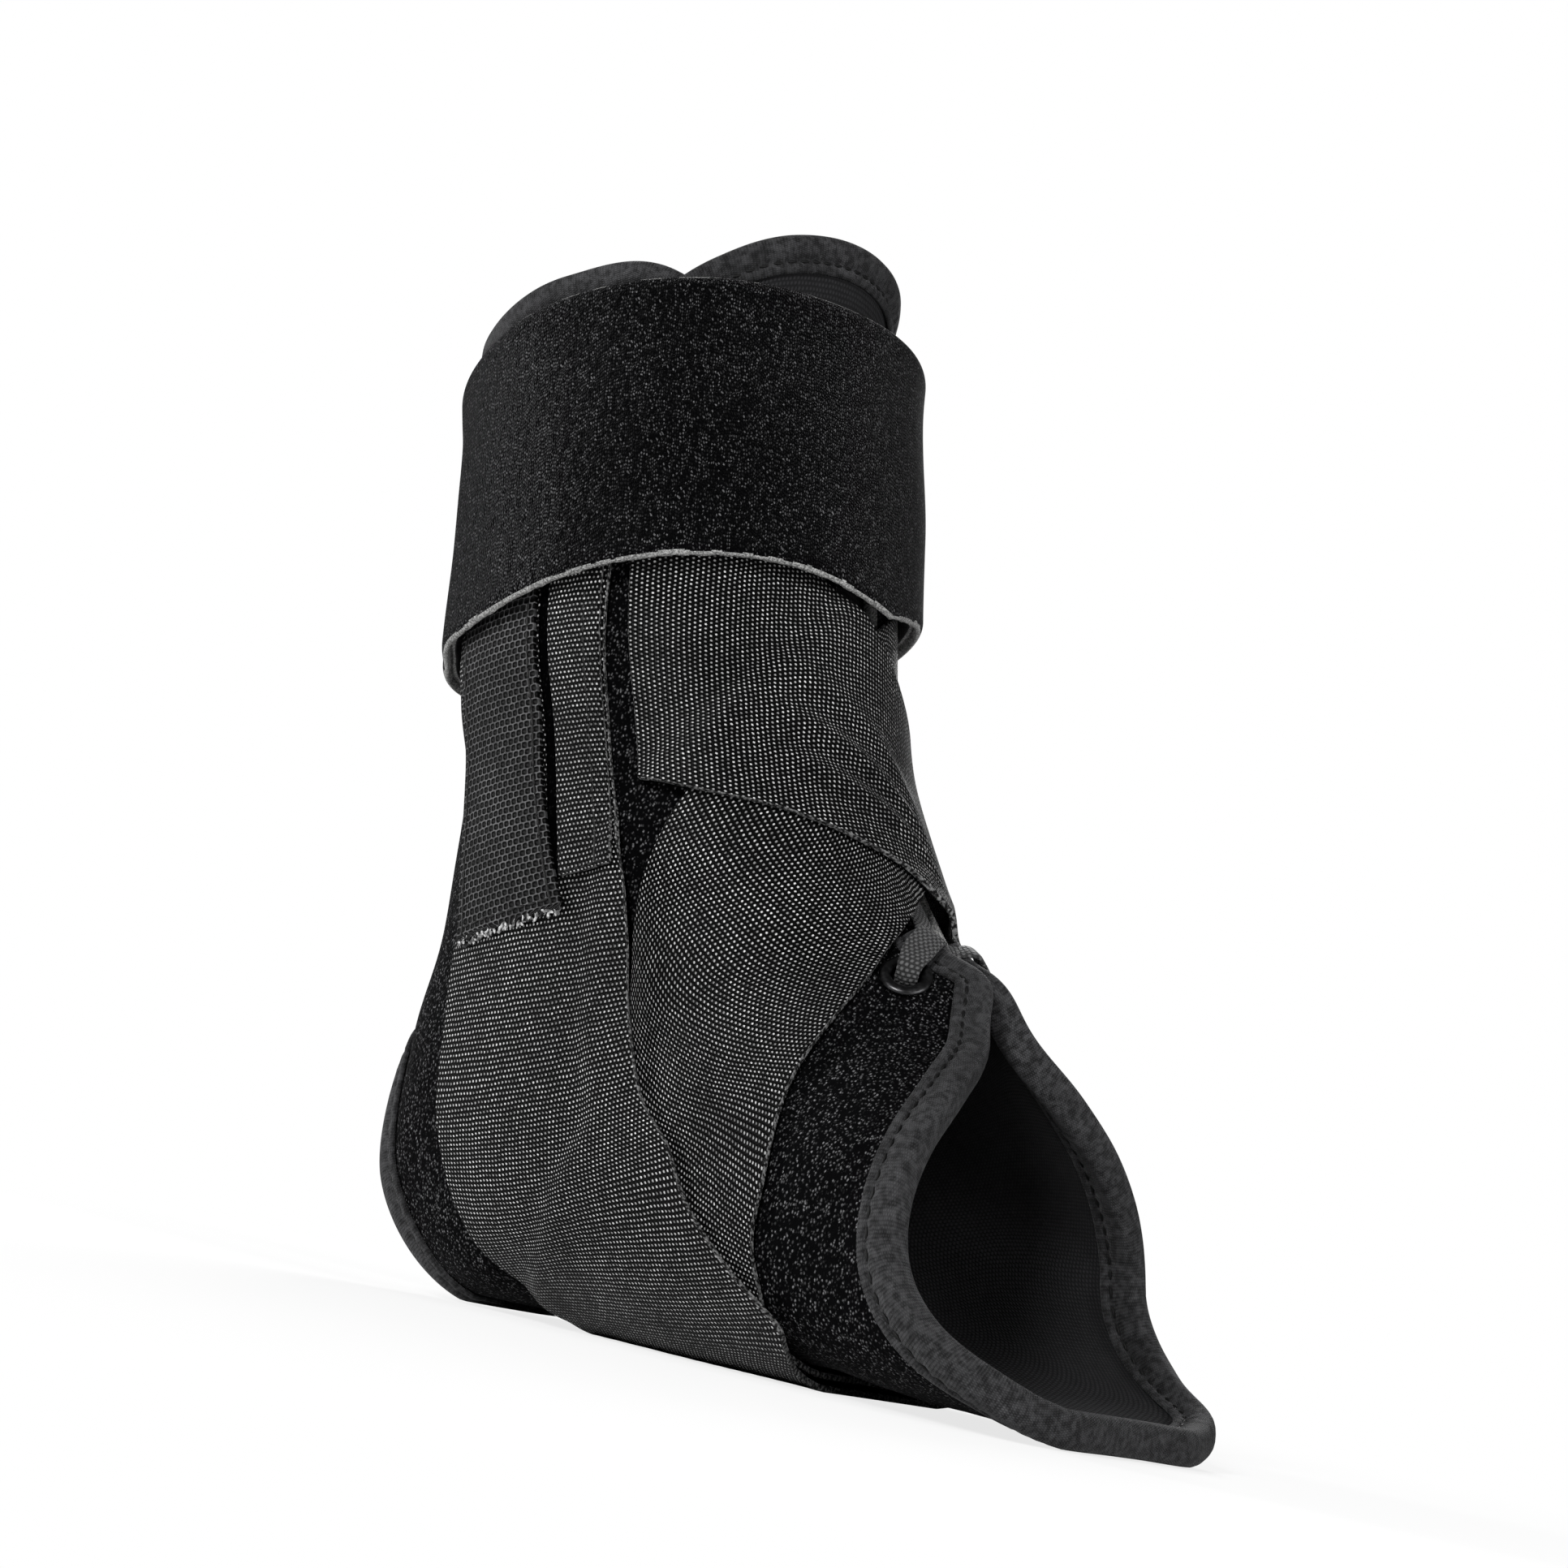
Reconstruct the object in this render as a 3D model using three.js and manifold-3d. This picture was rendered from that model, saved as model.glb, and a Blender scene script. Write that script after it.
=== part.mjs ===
// Lace-up ankle brace: a soft boot with open toes and heel, a padded tongue, two webbing straps that
// cross over the instep and under the arch, and a wide cuff wrapped round the shin.
// Lengths are in millimetres and angles in degrees. +X points to the toes, +Z up and +Y to the
// wearer's left. The brace rests on its sole, with the origin below the middle of its box.

import * as THREE from "three";
import Module from "manifold-3d";
import { mergeVertices } from "three/addons/utils/BufferGeometryUtils.js";

// Driving dimensions of the body
const legLean = 11;
const legHeight = 165;
const legDepth = 100;
const legWidth = 94;
const ankleHeight = 80;
const ankleReach = 51;
const footLength = 182;
const footWidth = 96;
const instepHeight = 103;

// Thicknesses and clearances
const clearance = 0.45;
const strapClearance = 0.7;
const crossClearance = 0.95;
const bindingClearance = 1.05;
const tongueClearance = 1.15;
const shellWall = 3;
const seamGap = 0.3;
const webbing = 1.3;
const bindingThickness = 1.3;
const hookThickness = 0.9;
const cuffWall = 3.2;
const tonguePad = 4.5;
const laceThickness = 1.2;

// Widths and small parts
const bindingWidth = 6.3;
const laceWidth = 6.4;
const eyeletBore = 5.8;
const eyeletWall = 0.5;
const eyeletFlange = 1.9;
const eyeletRise = 0.8;
const flapLift = 3.4;
const soleFlat = 0.6;
const cuffOverlap = 40;
const cuffStart = -125;

// Heights of the layers over the shell's outer face
const lowLayer = strapClearance;
const highLayer = lowLayer + webbing + crossClearance;
const strapStack = highLayer + webbing;
const bindingRise = bindingClearance + bindingThickness;
const cuffOverBinding = bindingRise + clearance;
const cuffOverStraps = strapStack + clearance;
const cuffOverTape = lowLayer + webbing + hookThickness + 3 * clearance;
const cuffOverSkin = 2 * clearance;

// The arch, where both straps pass under the shell, in stations, and the foot's first flat station
const firstArch = 9.6;
const lastArch = 12.25;
const archRamp = 0.45;
const firstFlat = 8;

// The flap's gentle lift round the foot of the lacing gap, and its shares along x and z
const flapMiddle = 9.1;
const flapReach = 0.9;
const flapTurn = 24;
const flapForward = 0.6;
const flapUpward = 0.8;

// Sections up the shin. up is a share of legHeight, front and back are shares of legDepth, half of
// legWidth. bendFront and bendBack are the exponents of the section's curve.
const legSections = [
  { up: 1.0, front: 0.53, back: -0.475, half: 0.5, bendFront: 2, bendBack: 2 },
  { up: 0.848, front: 0.475, back: -0.465, half: 0.479, bendFront: 2, bendBack: 2 },
  { up: 0.679, front: 0.465, back: -0.462, half: 0.457, bendFront: 2, bendBack: 2 },
  { up: 0.515, front: 0.47, back: -0.475, half: 0.436, bendFront: 2, bendBack: 2 },
  { up: 0.352, front: 0.485, back: -0.505, half: 0.426, bendFront: 2, bendBack: 2 },
  { up: 0.206, front: 0.515, back: -0.47, half: 0.42, bendFront: 2, bendBack: 2 },
];

// Sections along the foot. frontX and backX are shares of footLength, frontZ of instepHeight, backZ
// of ankleHeight above the sole, half of footWidth.
const footSections = [
  { frontX: 0.593, frontZ: 1.0, backX: 0.005, backZ: 0.9, half: 0.417, bendFront: 2, bendBack: 2 },
  { frontX: 0.637, frontZ: 0.903, backX: -0.008, backZ: 0.575, half: 0.406, bendFront: 2, bendBack: 2.1 },
  { frontX: 0.679, frontZ: 0.83, backX: 0.0055, backZ: 0.212, half: 0.385, bendFront: 2, bendBack: 2.3 },
  { frontX: 0.72, frontZ: 0.767, backX: 0.154, backZ: 0, half: 0.385, bendFront: 2, bendBack: 2.8 },
  { frontX: 0.758, frontZ: 0.718, backX: 0.341, backZ: 0, half: 0.396, bendFront: 2, bendBack: 3.2 },
  { frontX: 0.808, frontZ: 0.66, backX: 0.522, backZ: 0, half: 0.4375, bendFront: 2, bendBack: 3.4 },
  { frontX: 0.857, frontZ: 0.602, backX: 0.687, backZ: 0, half: 0.469, bendFront: 2.1, bendBack: 3.4 },
  { frontX: 0.923, frontZ: 0.544, backX: 0.852, backZ: 0, half: 0.5, bendFront: 2.1, bendBack: 3.4 },
  { frontX: 1.0, frontZ: 0.485, backX: 1.016, backZ: 0, half: 0.52, bendFront: 2.1, bendBack: 3.4 },
];

// Outlines over the body. station counts sections from the top of the shin to the toes, turn is the
// angle round the body: 0 at the front, 90 on the wearer's right, 180 at the back and under the sole.
const topEdge = [
  { turn: 0, station: 2.05 },
  { turn: 20, station: 1.95 },
  { turn: 35, station: 1.75 },
  { turn: 50, station: 1.42 },
  { turn: 62, station: 1.2 },
  { turn: 90, station: 1.15 },
  { turn: 127, station: 1.25 },
  { turn: 180, station: 1.3 },
];
const toeEdge = [
  { turn: 3, station: 9.0 },
  { turn: 7, station: 9.5 },
  { turn: 12, station: 10.05 },
  { turn: 17, station: 10.5 },
  { turn: 34, station: 11.37 },
  { turn: 56.5, station: 12.0 },
  { turn: 70.5, station: 12.25 },
  { turn: 83, station: 12.44 },
  { turn: 91, station: 12.62 },
  { turn: 97, station: 12.85 },
  { turn: 110, station: 13.2 },
  { turn: 130, station: 13.6 },
  { turn: 155, station: 13.82 },
  { turn: 180, station: 13.86 },
];
const lacingGap = [
  { station: 1, turn: 11 },
  { station: 5, turn: 11 },
  { station: 7.2, turn: 12 },
  { station: 7.8, turn: 10 },
  { station: 8.4, turn: 5.5 },
  { station: 9, turn: 3 },
];
const cuffTop = [
  { turn: 0, station: 1.3 },
  { turn: 72, station: 1.3 },
  { turn: 98, station: 1.4 },
  { turn: 115, station: 1.5 },
  { turn: 180, station: 1.6 },
];
const cuffBottom = [
  { turn: 0, station: 3.72 },
  { turn: 10, station: 3.65 },
  { turn: 25, station: 3.55 },
  { turn: 71, station: 3.55 },
  { turn: 94, station: 3.68 },
  { turn: 108, station: 3.78 },
  { turn: 128, station: 3.88 },
  { turn: 180, station: 3.88 },
];

// The cuff lies close to the shell behind the straps, and steps down below the top binding. It climbs
// onto its own first layer over cuffRamp degrees, from cuffLead degrees before that layer's start.
const cuffSide = { turn: 84, fade: 12 };
const cuffBack = { turn: 121, fade: 22 };
const cuffDrop = { station: 1.5, fade: 1.2 };
const cuffLead = 28;
const cuffRamp = 24;

const heelOpening = { station: 7.95, turn: 180, stationReach: 1.2, turnReach: 35 };

// The tongue's outline: half its width in turns at the top and lower down, the station where it starts
// to narrow and over how many, its twist round the shin and the roundness of its top edge. crowding
// draws its lines of cells together at the top.
const tongue = {
  topStation: 0.64,
  cornerDrop: 0.62,
  endStation: 9.3,
  topTurn: 72,
  lowTurn: 36,
  twist: -6,
  narrowFrom: 1,
  narrowOver: 3,
  untwistOver: 4,
  topCurve: 2.1,
  crowding: 1.5,
};

// Where the tongue sinks to clear the bindings: below the shell's top, at its own sides and at its end
const tongueDip = { from: 0.92, over: 0.85, until: 2.8, fade: 0.7 };
const tongueSide = { turn: 34, over: 22, until: 2, fade: 0.7 };
const tongueEnd = { from: 8.1, over: 0.4 };
const eyelet = { station: 8.55, turn: 23.5 };

// One strap, from its cut end on its own side, over the instep, down the other side, under the arch
// and up its own side to below the cuff. rear and fore are the two edges of the webbing.
const strapRoute = [
  { rearStation: 3.35, rearTurn: 69, foreStation: 5.35, foreTurn: 69 },
  { rearStation: 3.3, rearTurn: 50, foreStation: 5.5, foreTurn: 54 },
  { rearStation: 3.35, rearTurn: 33, foreStation: 5.66, foreTurn: 37 },
  { rearStation: 3.52, rearTurn: 17, foreStation: 5.92, foreTurn: 20 },
  { rearStation: 3.85, rearTurn: 0, foreStation: 6.28, foreTurn: 5 },
  { rearStation: 4.35, rearTurn: -18, foreStation: 6.8, foreTurn: -9 },
  { rearStation: 4.95, rearTurn: -40, foreStation: 7.6, foreTurn: -18 },
  { rearStation: 5.53, rearTurn: -60, foreStation: 8.4, foreTurn: -31 },
  { rearStation: 6.1, rearTurn: -69, foreStation: 9.0, foreTurn: -43 },
  { rearStation: 6.8, rearTurn: -72, foreStation: 9.6, foreTurn: -55 },
  { rearStation: 7.6, rearTurn: -74, foreStation: 10.33, foreTurn: -71 },
  { rearStation: 8.4, rearTurn: -79, foreStation: 10.95, foreTurn: -88 },
  { rearStation: 9.2, rearTurn: -90, foreStation: 11.4, foreTurn: -98 },
  { rearStation: 9.8, rearTurn: -106, foreStation: 11.75, foreTurn: -113 },
  { rearStation: 9.98, rearTurn: -117, foreStation: 11.87, foreTurn: -124 },
  { rearStation: 10.1, rearTurn: -128, foreStation: 11.95, foreTurn: -135 },
  { rearStation: 10.14, rearTurn: -140, foreStation: 12.0, foreTurn: -147 },
  { rearStation: 10.15, rearTurn: -157, foreStation: 12.05, foreTurn: -160 },
  { rearStation: 10.15, rearTurn: -180, foreStation: 12.1, foreTurn: -190 },
  { rearStation: 10.12, rearTurn: -200, foreStation: 12.12, foreTurn: -218 },
  { rearStation: 10.0, rearTurn: -208, foreStation: 12.12, foreTurn: -229 },
  { rearStation: 9.8, rearTurn: -217, foreStation: 12.03, foreTurn: -239 },
  { rearStation: 9.5, rearTurn: -227, foreStation: 11.45, foreTurn: -252.5 },
  { rearStation: 9.05, rearTurn: -236, foreStation: 10.65, foreTurn: -264 },
  { rearStation: 8.6, rearTurn: -241, foreStation: 9.75, foreTurn: -270.5 },
  { rearStation: 8.1, rearTurn: -244, foreStation: 8.9, foreTurn: -279 },
  { rearStation: 7.5, rearTurn: -244, foreStation: 8.1, foreTurn: -285 },
  { rearStation: 6.9, rearTurn: -242, foreStation: 7.25, foreTurn: -287 },
  { rearStation: 6.2, rearTurn: -239, foreStation: 6.35, foreTurn: -287 },
  { rearStation: 5.2, rearTurn: -234, foreStation: 5.3, foreTurn: -284.5 },
  { rearStation: 4.2, rearTurn: -231, foreStation: 4.3, foreTurn: -284.5 },
  { rearStation: 3.2, rearTurn: -230, foreStation: 3.2, foreTurn: -286 },
  { rearStation: 2.3, rearTurn: -230, foreStation: 2.3, foreTurn: -286 },
];

// Hook tape sewn on the upright run of each strap, by its two edges from the top to its cut end
const tapeRoute = [
  { station: 2.5, rearTurn: 121, foreTurn: 94 },
  { station: 3.7, rearTurn: 122, foreTurn: 94 },
  { station: 4.6, rearTurn: 124, foreTurn: 93.5 },
  { station: 5.2, rearTurn: 124, foreTurn: 93.5 },
  { station: 5.83, rearTurn: 121, foreTurn: 90.5 },
  { station: 6.4, rearTurn: 117, foreTurn: 87 },
];

// Each lace comes up through its eyelet, over the flap and down into the gap below the straps.
// height is the middle of the lace over the shell's outer face.
const laceRoute = [
  { station: 8.57, turn: 23.5, height: -2.0, width: 0.66 },
  { station: 8.55, turn: 23.3, height: 0.4, width: 0.68 },
  { station: 8.42, turn: 21.5, height: 2.3, width: 0.8 },
  { station: 8.17, turn: 17.6, height: 2.6, width: 1 },
  { station: 7.93, turn: 13.4, height: 2.1, width: 1 },
  { station: 7.72, turn: 9.2, height: 1.6, width: 1 },
  { station: 7.52, turn: 5.2, height: 0.8, width: 1 },
  { station: 7.3, turn: 1.8, height: -0.5, width: 1 },
  { station: 6.9, turn: 0.3, height: -0.85, width: 1 },
  { station: 6.0, turn: 0, height: -0.85, width: 1 },
];
const lowerLaceDrop = 1.75;

// Where the shell's lines of cells lie: closest round the heel and the bend of the instep
const shellLines = [
  { line: 0, share: 0 },
  { line: 0.3, share: 0.44 },
  { line: 0.7, share: 0.69 },
  { line: 1, share: 1 },
];

// Where the shell's columns of cells lie, on each side of the lacing gap: closest at the widest part
const shellColumns = [
  { column: 0, turn: 0 },
  { column: 0.22, turn: 80 },
  { column: 0.28, turn: 93 },
  { column: 0.5, turn: 180 },
];

// The right strap lifts wherever the left one is nearby, over a fade, both along the skin. The left
// strap is sampled on a fine grid for this.
const crossingReach = { nearby: 6, fade: 7, lines: 170, columns: 18 };

// The middle of the lace from which the lower lace sinks, and where both turn to run down the gap
const laceSink = { from: 0.5, over: 0.2 };
const laceTurnsDown = 0.7;

// Rounding of a folded tape's rim as a share of its thickness, and small steps for finding directions
const rimRound = 0.6;
const edgeStep = 0.002;
const cordStep = 0.01;
const stationStep = 0.02;
const turnStep = 0.4;
const walkStep = 2.5;

// Mesh fineness, in cells
const shellCells = { across: 32, along: 26 };
const strapCells = { across: 5, along: 54 };
const cuffCells = { across: 5, along: 42 };
const tongueCells = { across: 12, along: 13 };
const tapeCells = { across: 4, along: 10 };
const heelSides = 26;
const laceCells = 20;
const roundSides = 12;

const wasm = await Module();
wasm.setup();

function smooth(x) {
  const t = Math.min(1, Math.max(0, x));
  return t * t * (3 - 2 * t);
}

function mix(a, b, t) {
  return a + (b - a) * t;
}

// The cubic through b and c that is shaped by their neighbours a and d
function cubic(a, b, c, d, t) {
  const start = 2 * b;
  const slope = (c - a) * t;
  const bend = (2 * a - 5 * b + 4 * c - d) * t * t;
  const twist = (3 * b - a - 3 * c + d) * t * t * t;
  return 0.5 * (start + slope + bend + twist);
}

// Rows of numbers, read at a fractional place along them
function between(rows, place) {
  const last = rows.length - 1;
  const at = Math.min(last - 1, Math.max(0, Math.floor(place)));
  const t = place - at;
  return rows[at].map((value, column) => {
    const next = rows[at + 1][column];
    const before = at > 0 ? rows[at - 1][column] : 2 * value - next;
    const after = at + 2 <= last ? rows[at + 2][column] : 2 * next - value;
    return cubic(before, value, next, after, t);
  });
}

// A table with one input and one output column, read at x along straight lines
function read(table, input, output, x) {
  let at = 0;
  while (at < table.length - 2 && x > table[at + 1][input]) {
    at += 1;
  }
  const a = table[at];
  const b = table[at + 1];
  const t = (x - a[input]) / (b[input] - a[input]);
  return mix(a[output], b[output], Math.min(1, Math.max(0, t)));
}

// Turn folded to 0..180, the same on both sides of the body
function folded(turn) {
  const whole = ((turn % 360) + 360) % 360;
  return whole > 180 ? 360 - whole : whole;
}

// The body

// Height of the shell's sole over the floor: room for the binding, and for both straps at the arch
function soleLevel(station) {
  const rise = smooth((station - firstArch) / archRamp);
  const fall = smooth((station - lastArch) / archRamp);
  return mix(bindingRise, strapStack, rise * (1 - fall));
}

function bodyRows() {
  const lean = THREE.MathUtils.degToRad(legLean);
  const rows = legSections.map((row) => {
    const up = row.up * legHeight;
    const x = ankleReach - up * Math.sin(lean);
    const z = ankleHeight + up * Math.cos(lean);
    const front = row.front * legDepth;
    const back = row.back * legDepth;
    return [
      x + front * Math.cos(lean),
      z + front * Math.sin(lean),
      x + back * Math.cos(lean),
      z + back * Math.sin(lean),
      row.half * legWidth,
      row.bendFront,
      row.bendBack,
    ];
  });
  footSections.forEach((row, index) => {
    const station = legSections.length + index;
    const sole = row.backZ === 0 ? soleLevel(station) - soleFlat : 0;
    rows.push([
      row.frontX * footLength,
      row.frontZ * instepHeight,
      row.backX * footLength,
      row.backZ * ankleHeight + sole,
      row.half * footWidth,
      row.bendFront,
      row.bendBack,
    ]);
  });
  return rows;
}

const body = bodyRows();

// A point of the shell's outer face
function skin(station, turn) {
  const [frontX, frontZ, backX, backZ, half, bendFront, bendBack] = between(body, station);
  const angle = THREE.MathUtils.degToRad(turn);
  const c = Math.cos(angle);
  const s = Math.sin(angle);
  const power = 2 / (c >= 0 ? bendFront : bendBack);
  const along = Math.sign(c) * Math.abs(c) ** power;
  const across = Math.sign(s) * Math.abs(s) ** power;
  const away = ((station - flapMiddle) / flapReach) ** 2 + (folded(turn) / flapTurn) ** 2;
  const lift = flapLift * Math.exp(-away);
  const x = (frontX + backX) / 2 + ((frontX - backX) / 2) * along + lift * flapForward;
  const z = (frontZ + backZ) / 2 + ((frontZ - backZ) / 2) * along + lift * flapUpward;
  return new THREE.Vector3(x, -half * across, station > firstFlat ? Math.max(z, soleLevel(station)) : z);
}

// Change of the skin point for one station and for one degree of turn
function slopes(station, turn) {
  const ahead = skin(station + stationStep, turn).sub(skin(station - stationStep, turn));
  const round = skin(station, turn + turnStep).sub(skin(station, turn - turnStep));
  return [ahead.divideScalar(2 * stationStep), round.divideScalar(2 * turnStep)];
}

function normal(station, turn) {
  const [ahead, round] = slopes(station, turn);
  return round.cross(ahead).normalize();
}

// A point at a height over the shell's outer face
function over(station, turn, height) {
  return normal(station, turn).multiplyScalar(height).add(skin(station, turn));
}

// The station and turn reached by going a distance over the skin in a direction
function walk(station, turn, direction, distance) {
  const steps = Math.max(1, Math.ceil(Math.abs(distance) / walkStep));
  const heading = direction.clone();
  let place = [station, turn];
  for (let step = 0; step < steps; step += 1) {
    const [ahead, round] = slopes(...place);
    const up = round.clone().cross(ahead).normalize();
    heading.addScaledVector(up, -heading.dot(up)).normalize();
    const aa = ahead.dot(ahead);
    const ar = ahead.dot(round);
    const rr = round.dot(round);
    const ha = heading.dot(ahead) * (distance / steps);
    const hr = heading.dot(round) * (distance / steps);
    const scale = aa * rr - ar * ar;
    place = [place[0] + (ha * rr - hr * ar) / scale, place[1] + (hr * aa - ha * ar) / scale];
  }
  return place;
}

// Closed meshes

function signedVolume(points, faces) {
  let sum = 0;
  for (const [a, b, c] of faces) {
    sum += points[a].dot(points[b].clone().cross(points[c]));
  }
  return sum / 6;
}

function closedGeometry(points, faces) {
  const outward = signedVolume(points, faces) > 0;
  const turned = outward ? faces : faces.map(([a, b, c]) => [a, c, b]);
  const geometry = new THREE.BufferGeometry();
  const numbers = points.flatMap((point) => point.toArray());
  geometry.setAttribute("position", new THREE.Float32BufferAttribute(numbers, 3));
  geometry.setIndex(turned.flat());
  return geometry;
}

function quad(faces, a, b, c, d) {
  faces.push([a, b, c], [a, c, d]);
}

// A sheet with thickness over a grid: place(u, v) gives station and turn, under(u, v) its underside
function sheet(cells, place, under, thickness) {
  const points = [];
  const faces = [];
  const columns = cells.across + 1;
  const lines = cells.along + 1;
  for (const top of [0, 1]) {
    for (let i = 0; i < lines; i += 1) {
      for (let j = 0; j < columns; j += 1) {
        const [station, turn] = place(j / cells.across, i / cells.along);
        const height = under(station, turn, j / cells.across, i / cells.along);
        points.push(over(station, turn, height + top * thickness));
      }
    }
  }
  const id = (i, j, top) => top * lines * columns + i * columns + j;
  for (let i = 0; i < cells.along; i += 1) {
    for (let j = 0; j < cells.across; j += 1) {
      quad(faces, id(i, j, 1), id(i, j + 1, 1), id(i + 1, j + 1, 1), id(i + 1, j, 1));
      quad(faces, id(i, j, 0), id(i + 1, j, 0), id(i + 1, j + 1, 0), id(i, j + 1, 0));
    }
  }
  for (let i = 0; i < cells.along; i += 1) {
    quad(faces, id(i, 0, 0), id(i, 0, 1), id(i + 1, 0, 1), id(i + 1, 0, 0));
    const j = cells.across;
    quad(faces, id(i, j, 0), id(i + 1, j, 0), id(i + 1, j, 1), id(i, j, 1));
  }
  for (let j = 0; j < cells.across; j += 1) {
    quad(faces, id(0, j, 0), id(0, j + 1, 0), id(0, j + 1, 1), id(0, j, 1));
    const i = cells.along;
    quad(faces, id(i, j, 0), id(i, j, 1), id(i, j + 1, 1), id(i, j + 1, 0));
  }
  return closedGeometry(points, faces);
}

// Rings of points joined one to the next, with flat ends or closed into a loop
function loft(rings, loop) {
  const count = rings[0].length;
  const points = rings.flat();
  const faces = [];
  const spans = loop ? rings.length : rings.length - 1;
  for (let i = 0; i < spans; i += 1) {
    const next = (i + 1) % rings.length;
    for (let j = 0; j < count; j += 1) {
      const k = (j + 1) % count;
      quad(faces, i * count + j, i * count + k, next * count + k, next * count + j);
    }
  }
  if (!loop) {
    for (const [ring, flip] of [[0, 1], [rings.length - 1, 0]]) {
      const outline = THREE.ShapeUtils.triangulateShape(flatten(rings[ring]), []);
      for (const [a, b, c] of outline) {
        const [x, y, z] = [a, b, c].map((v) => ring * count + v);
        faces.push(flip ? [x, z, y] : [x, y, z]);
      }
    }
  }
  return closedGeometry(points, faces);
}

// A nearly flat ring of points as 2-D points, for its end cap
function flatten(ring) {
  const centre = new THREE.Vector3();
  ring.forEach((p) => centre.addScaledVector(p, 1 / ring.length));
  const facing = new THREE.Vector3();
  ring.forEach((p, i) => {
    const q = ring[(i + 1) % ring.length];
    facing.add(p.clone().sub(centre).cross(q.clone().sub(centre)));
  });
  facing.normalize();
  const side = ring[0].clone().sub(centre);
  side.addScaledVector(facing, -side.dot(facing)).normalize();
  const up = facing.clone().cross(side);
  return ring.map((p) => {
    const from = p.clone().sub(centre);
    return new THREE.Vector2(from.dot(side), from.dot(up));
  });
}

// A tape folded over an edge. edge(t) gives the edge's station and turn, inward says on which side
// the sheet lies, outer is the height of the sheet's outer face and wall its thickness.
function foldedTape(edge, steps, loop, inward, outer, wall) {
  const high = (s, t) => outer(s, t) + bindingRise;
  const low = (s, t) => outer(s, t) - wall - bindingRise;
  const rim = -bindingRise;
  const half = bindingThickness * rimRound;
  const profile = [
    [bindingWidth, high, 0],
    [bindingWidth / 2, high, 0],
    [rim + half, high, 0],
    [rim, high, -half],
    [rim, low, half],
    [rim + half, low, 0],
    [bindingWidth, low, 0],
    [bindingWidth, low, bindingThickness],
    [-bindingClearance, low, bindingThickness],
    [-bindingClearance, high, -bindingThickness],
    [bindingWidth / 2, high, -bindingThickness],
    [bindingWidth, high, -bindingThickness],
  ];
  const rings = [];
  const count = loop ? steps : steps + 1;
  for (let i = 0; i < count; i += 1) {
    const t = i / steps;
    const [station, turn] = edge(t);
    const before = loop ? t - edgeStep : Math.max(0, t - edgeStep);
    const after = loop ? t + edgeStep : Math.min(1, t + edgeStep);
    const heading = skin(...edge(after)).sub(skin(...edge(before)));
    const aside = normal(station, turn).cross(heading).normalize().multiplyScalar(inward);
    rings.push(profile.map(([distance, height, add]) => {
      const [s, a] = walk(station, turn, aside, distance);
      return over(s, a, height(s, a) + add);
    }));
  }
  return loft(rings, loop);
}

// A flat cord along station, turn, height and width rows
function flatCord(route, steps, side, drop) {
  const rows = route.map((p) => [p.station, p.turn * side, p.height, p.width]);
  const middle = (t) => {
    const [station, turn, height, width] = between(rows, t * (rows.length - 1));
    const sunk = drop * smooth((t - laceSink.from) / laceSink.over);
    return { station, turn, width, point: over(station, turn, height - sunk) };
  };
  const rings = [];
  for (let i = 0; i <= steps; i += 1) {
    const t = i / steps;
    const here = middle(t);
    const ahead = middle(Math.min(1, t + cordStep)).point;
    const heading = ahead.sub(middle(Math.max(0, t - cordStep)).point).normalize();
    const trend = skin(...rows.at(-4).slice(0, 2)).sub(skin(...rows[0].slice(0, 2)));
    const across = normal(here.station, here.turn).cross(t < laceTurnsDown ? trend : heading).normalize();
    const rise = heading.clone().cross(across).normalize();
    across.copy(rise.clone().cross(heading));
    const w = (here.width * laceWidth) / 2;
    const h = laceThickness / 2;
    rings.push([[-w, -h], [w, -h], [w, h], [-w, h]].map(([x, y]) => {
      return here.point.clone().addScaledVector(across, x).addScaledVector(rise, y);
    }));
  }
  return loft(rings, false);
}

function toManifold(geometry) {
  const bare = geometry.clone();
  bare.deleteAttribute("normal");
  bare.deleteAttribute("uv");
  const merged = mergeVertices(bare, 1e-4);
  const vertProperties = new Float32Array(merged.attributes.position.array);
  const triVerts = new Uint32Array(merged.index.array);
  return new wasm.Manifold(new wasm.Mesh({ numProp: 3, vertProperties, triVerts }));
}

function fromManifold(solid) {
  const mesh = solid.getMesh();
  const geometry = new THREE.BufferGeometry();
  geometry.setAttribute("position", new THREE.Float32BufferAttribute(mesh.vertProperties, 3));
  geometry.setIndex(new THREE.Uint32BufferAttribute(mesh.triVerts, 1));
  return geometry;
}

// The shell

// The heel opening's edge, once round for t from 0 to 1
function heelEdge(t) {
  const angle = t * 2 * Math.PI;
  const station = heelOpening.station + heelOpening.stationReach * Math.cos(angle);
  return [station, heelOpening.turn + heelOpening.turnReach * Math.sin(angle)];
}

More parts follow.
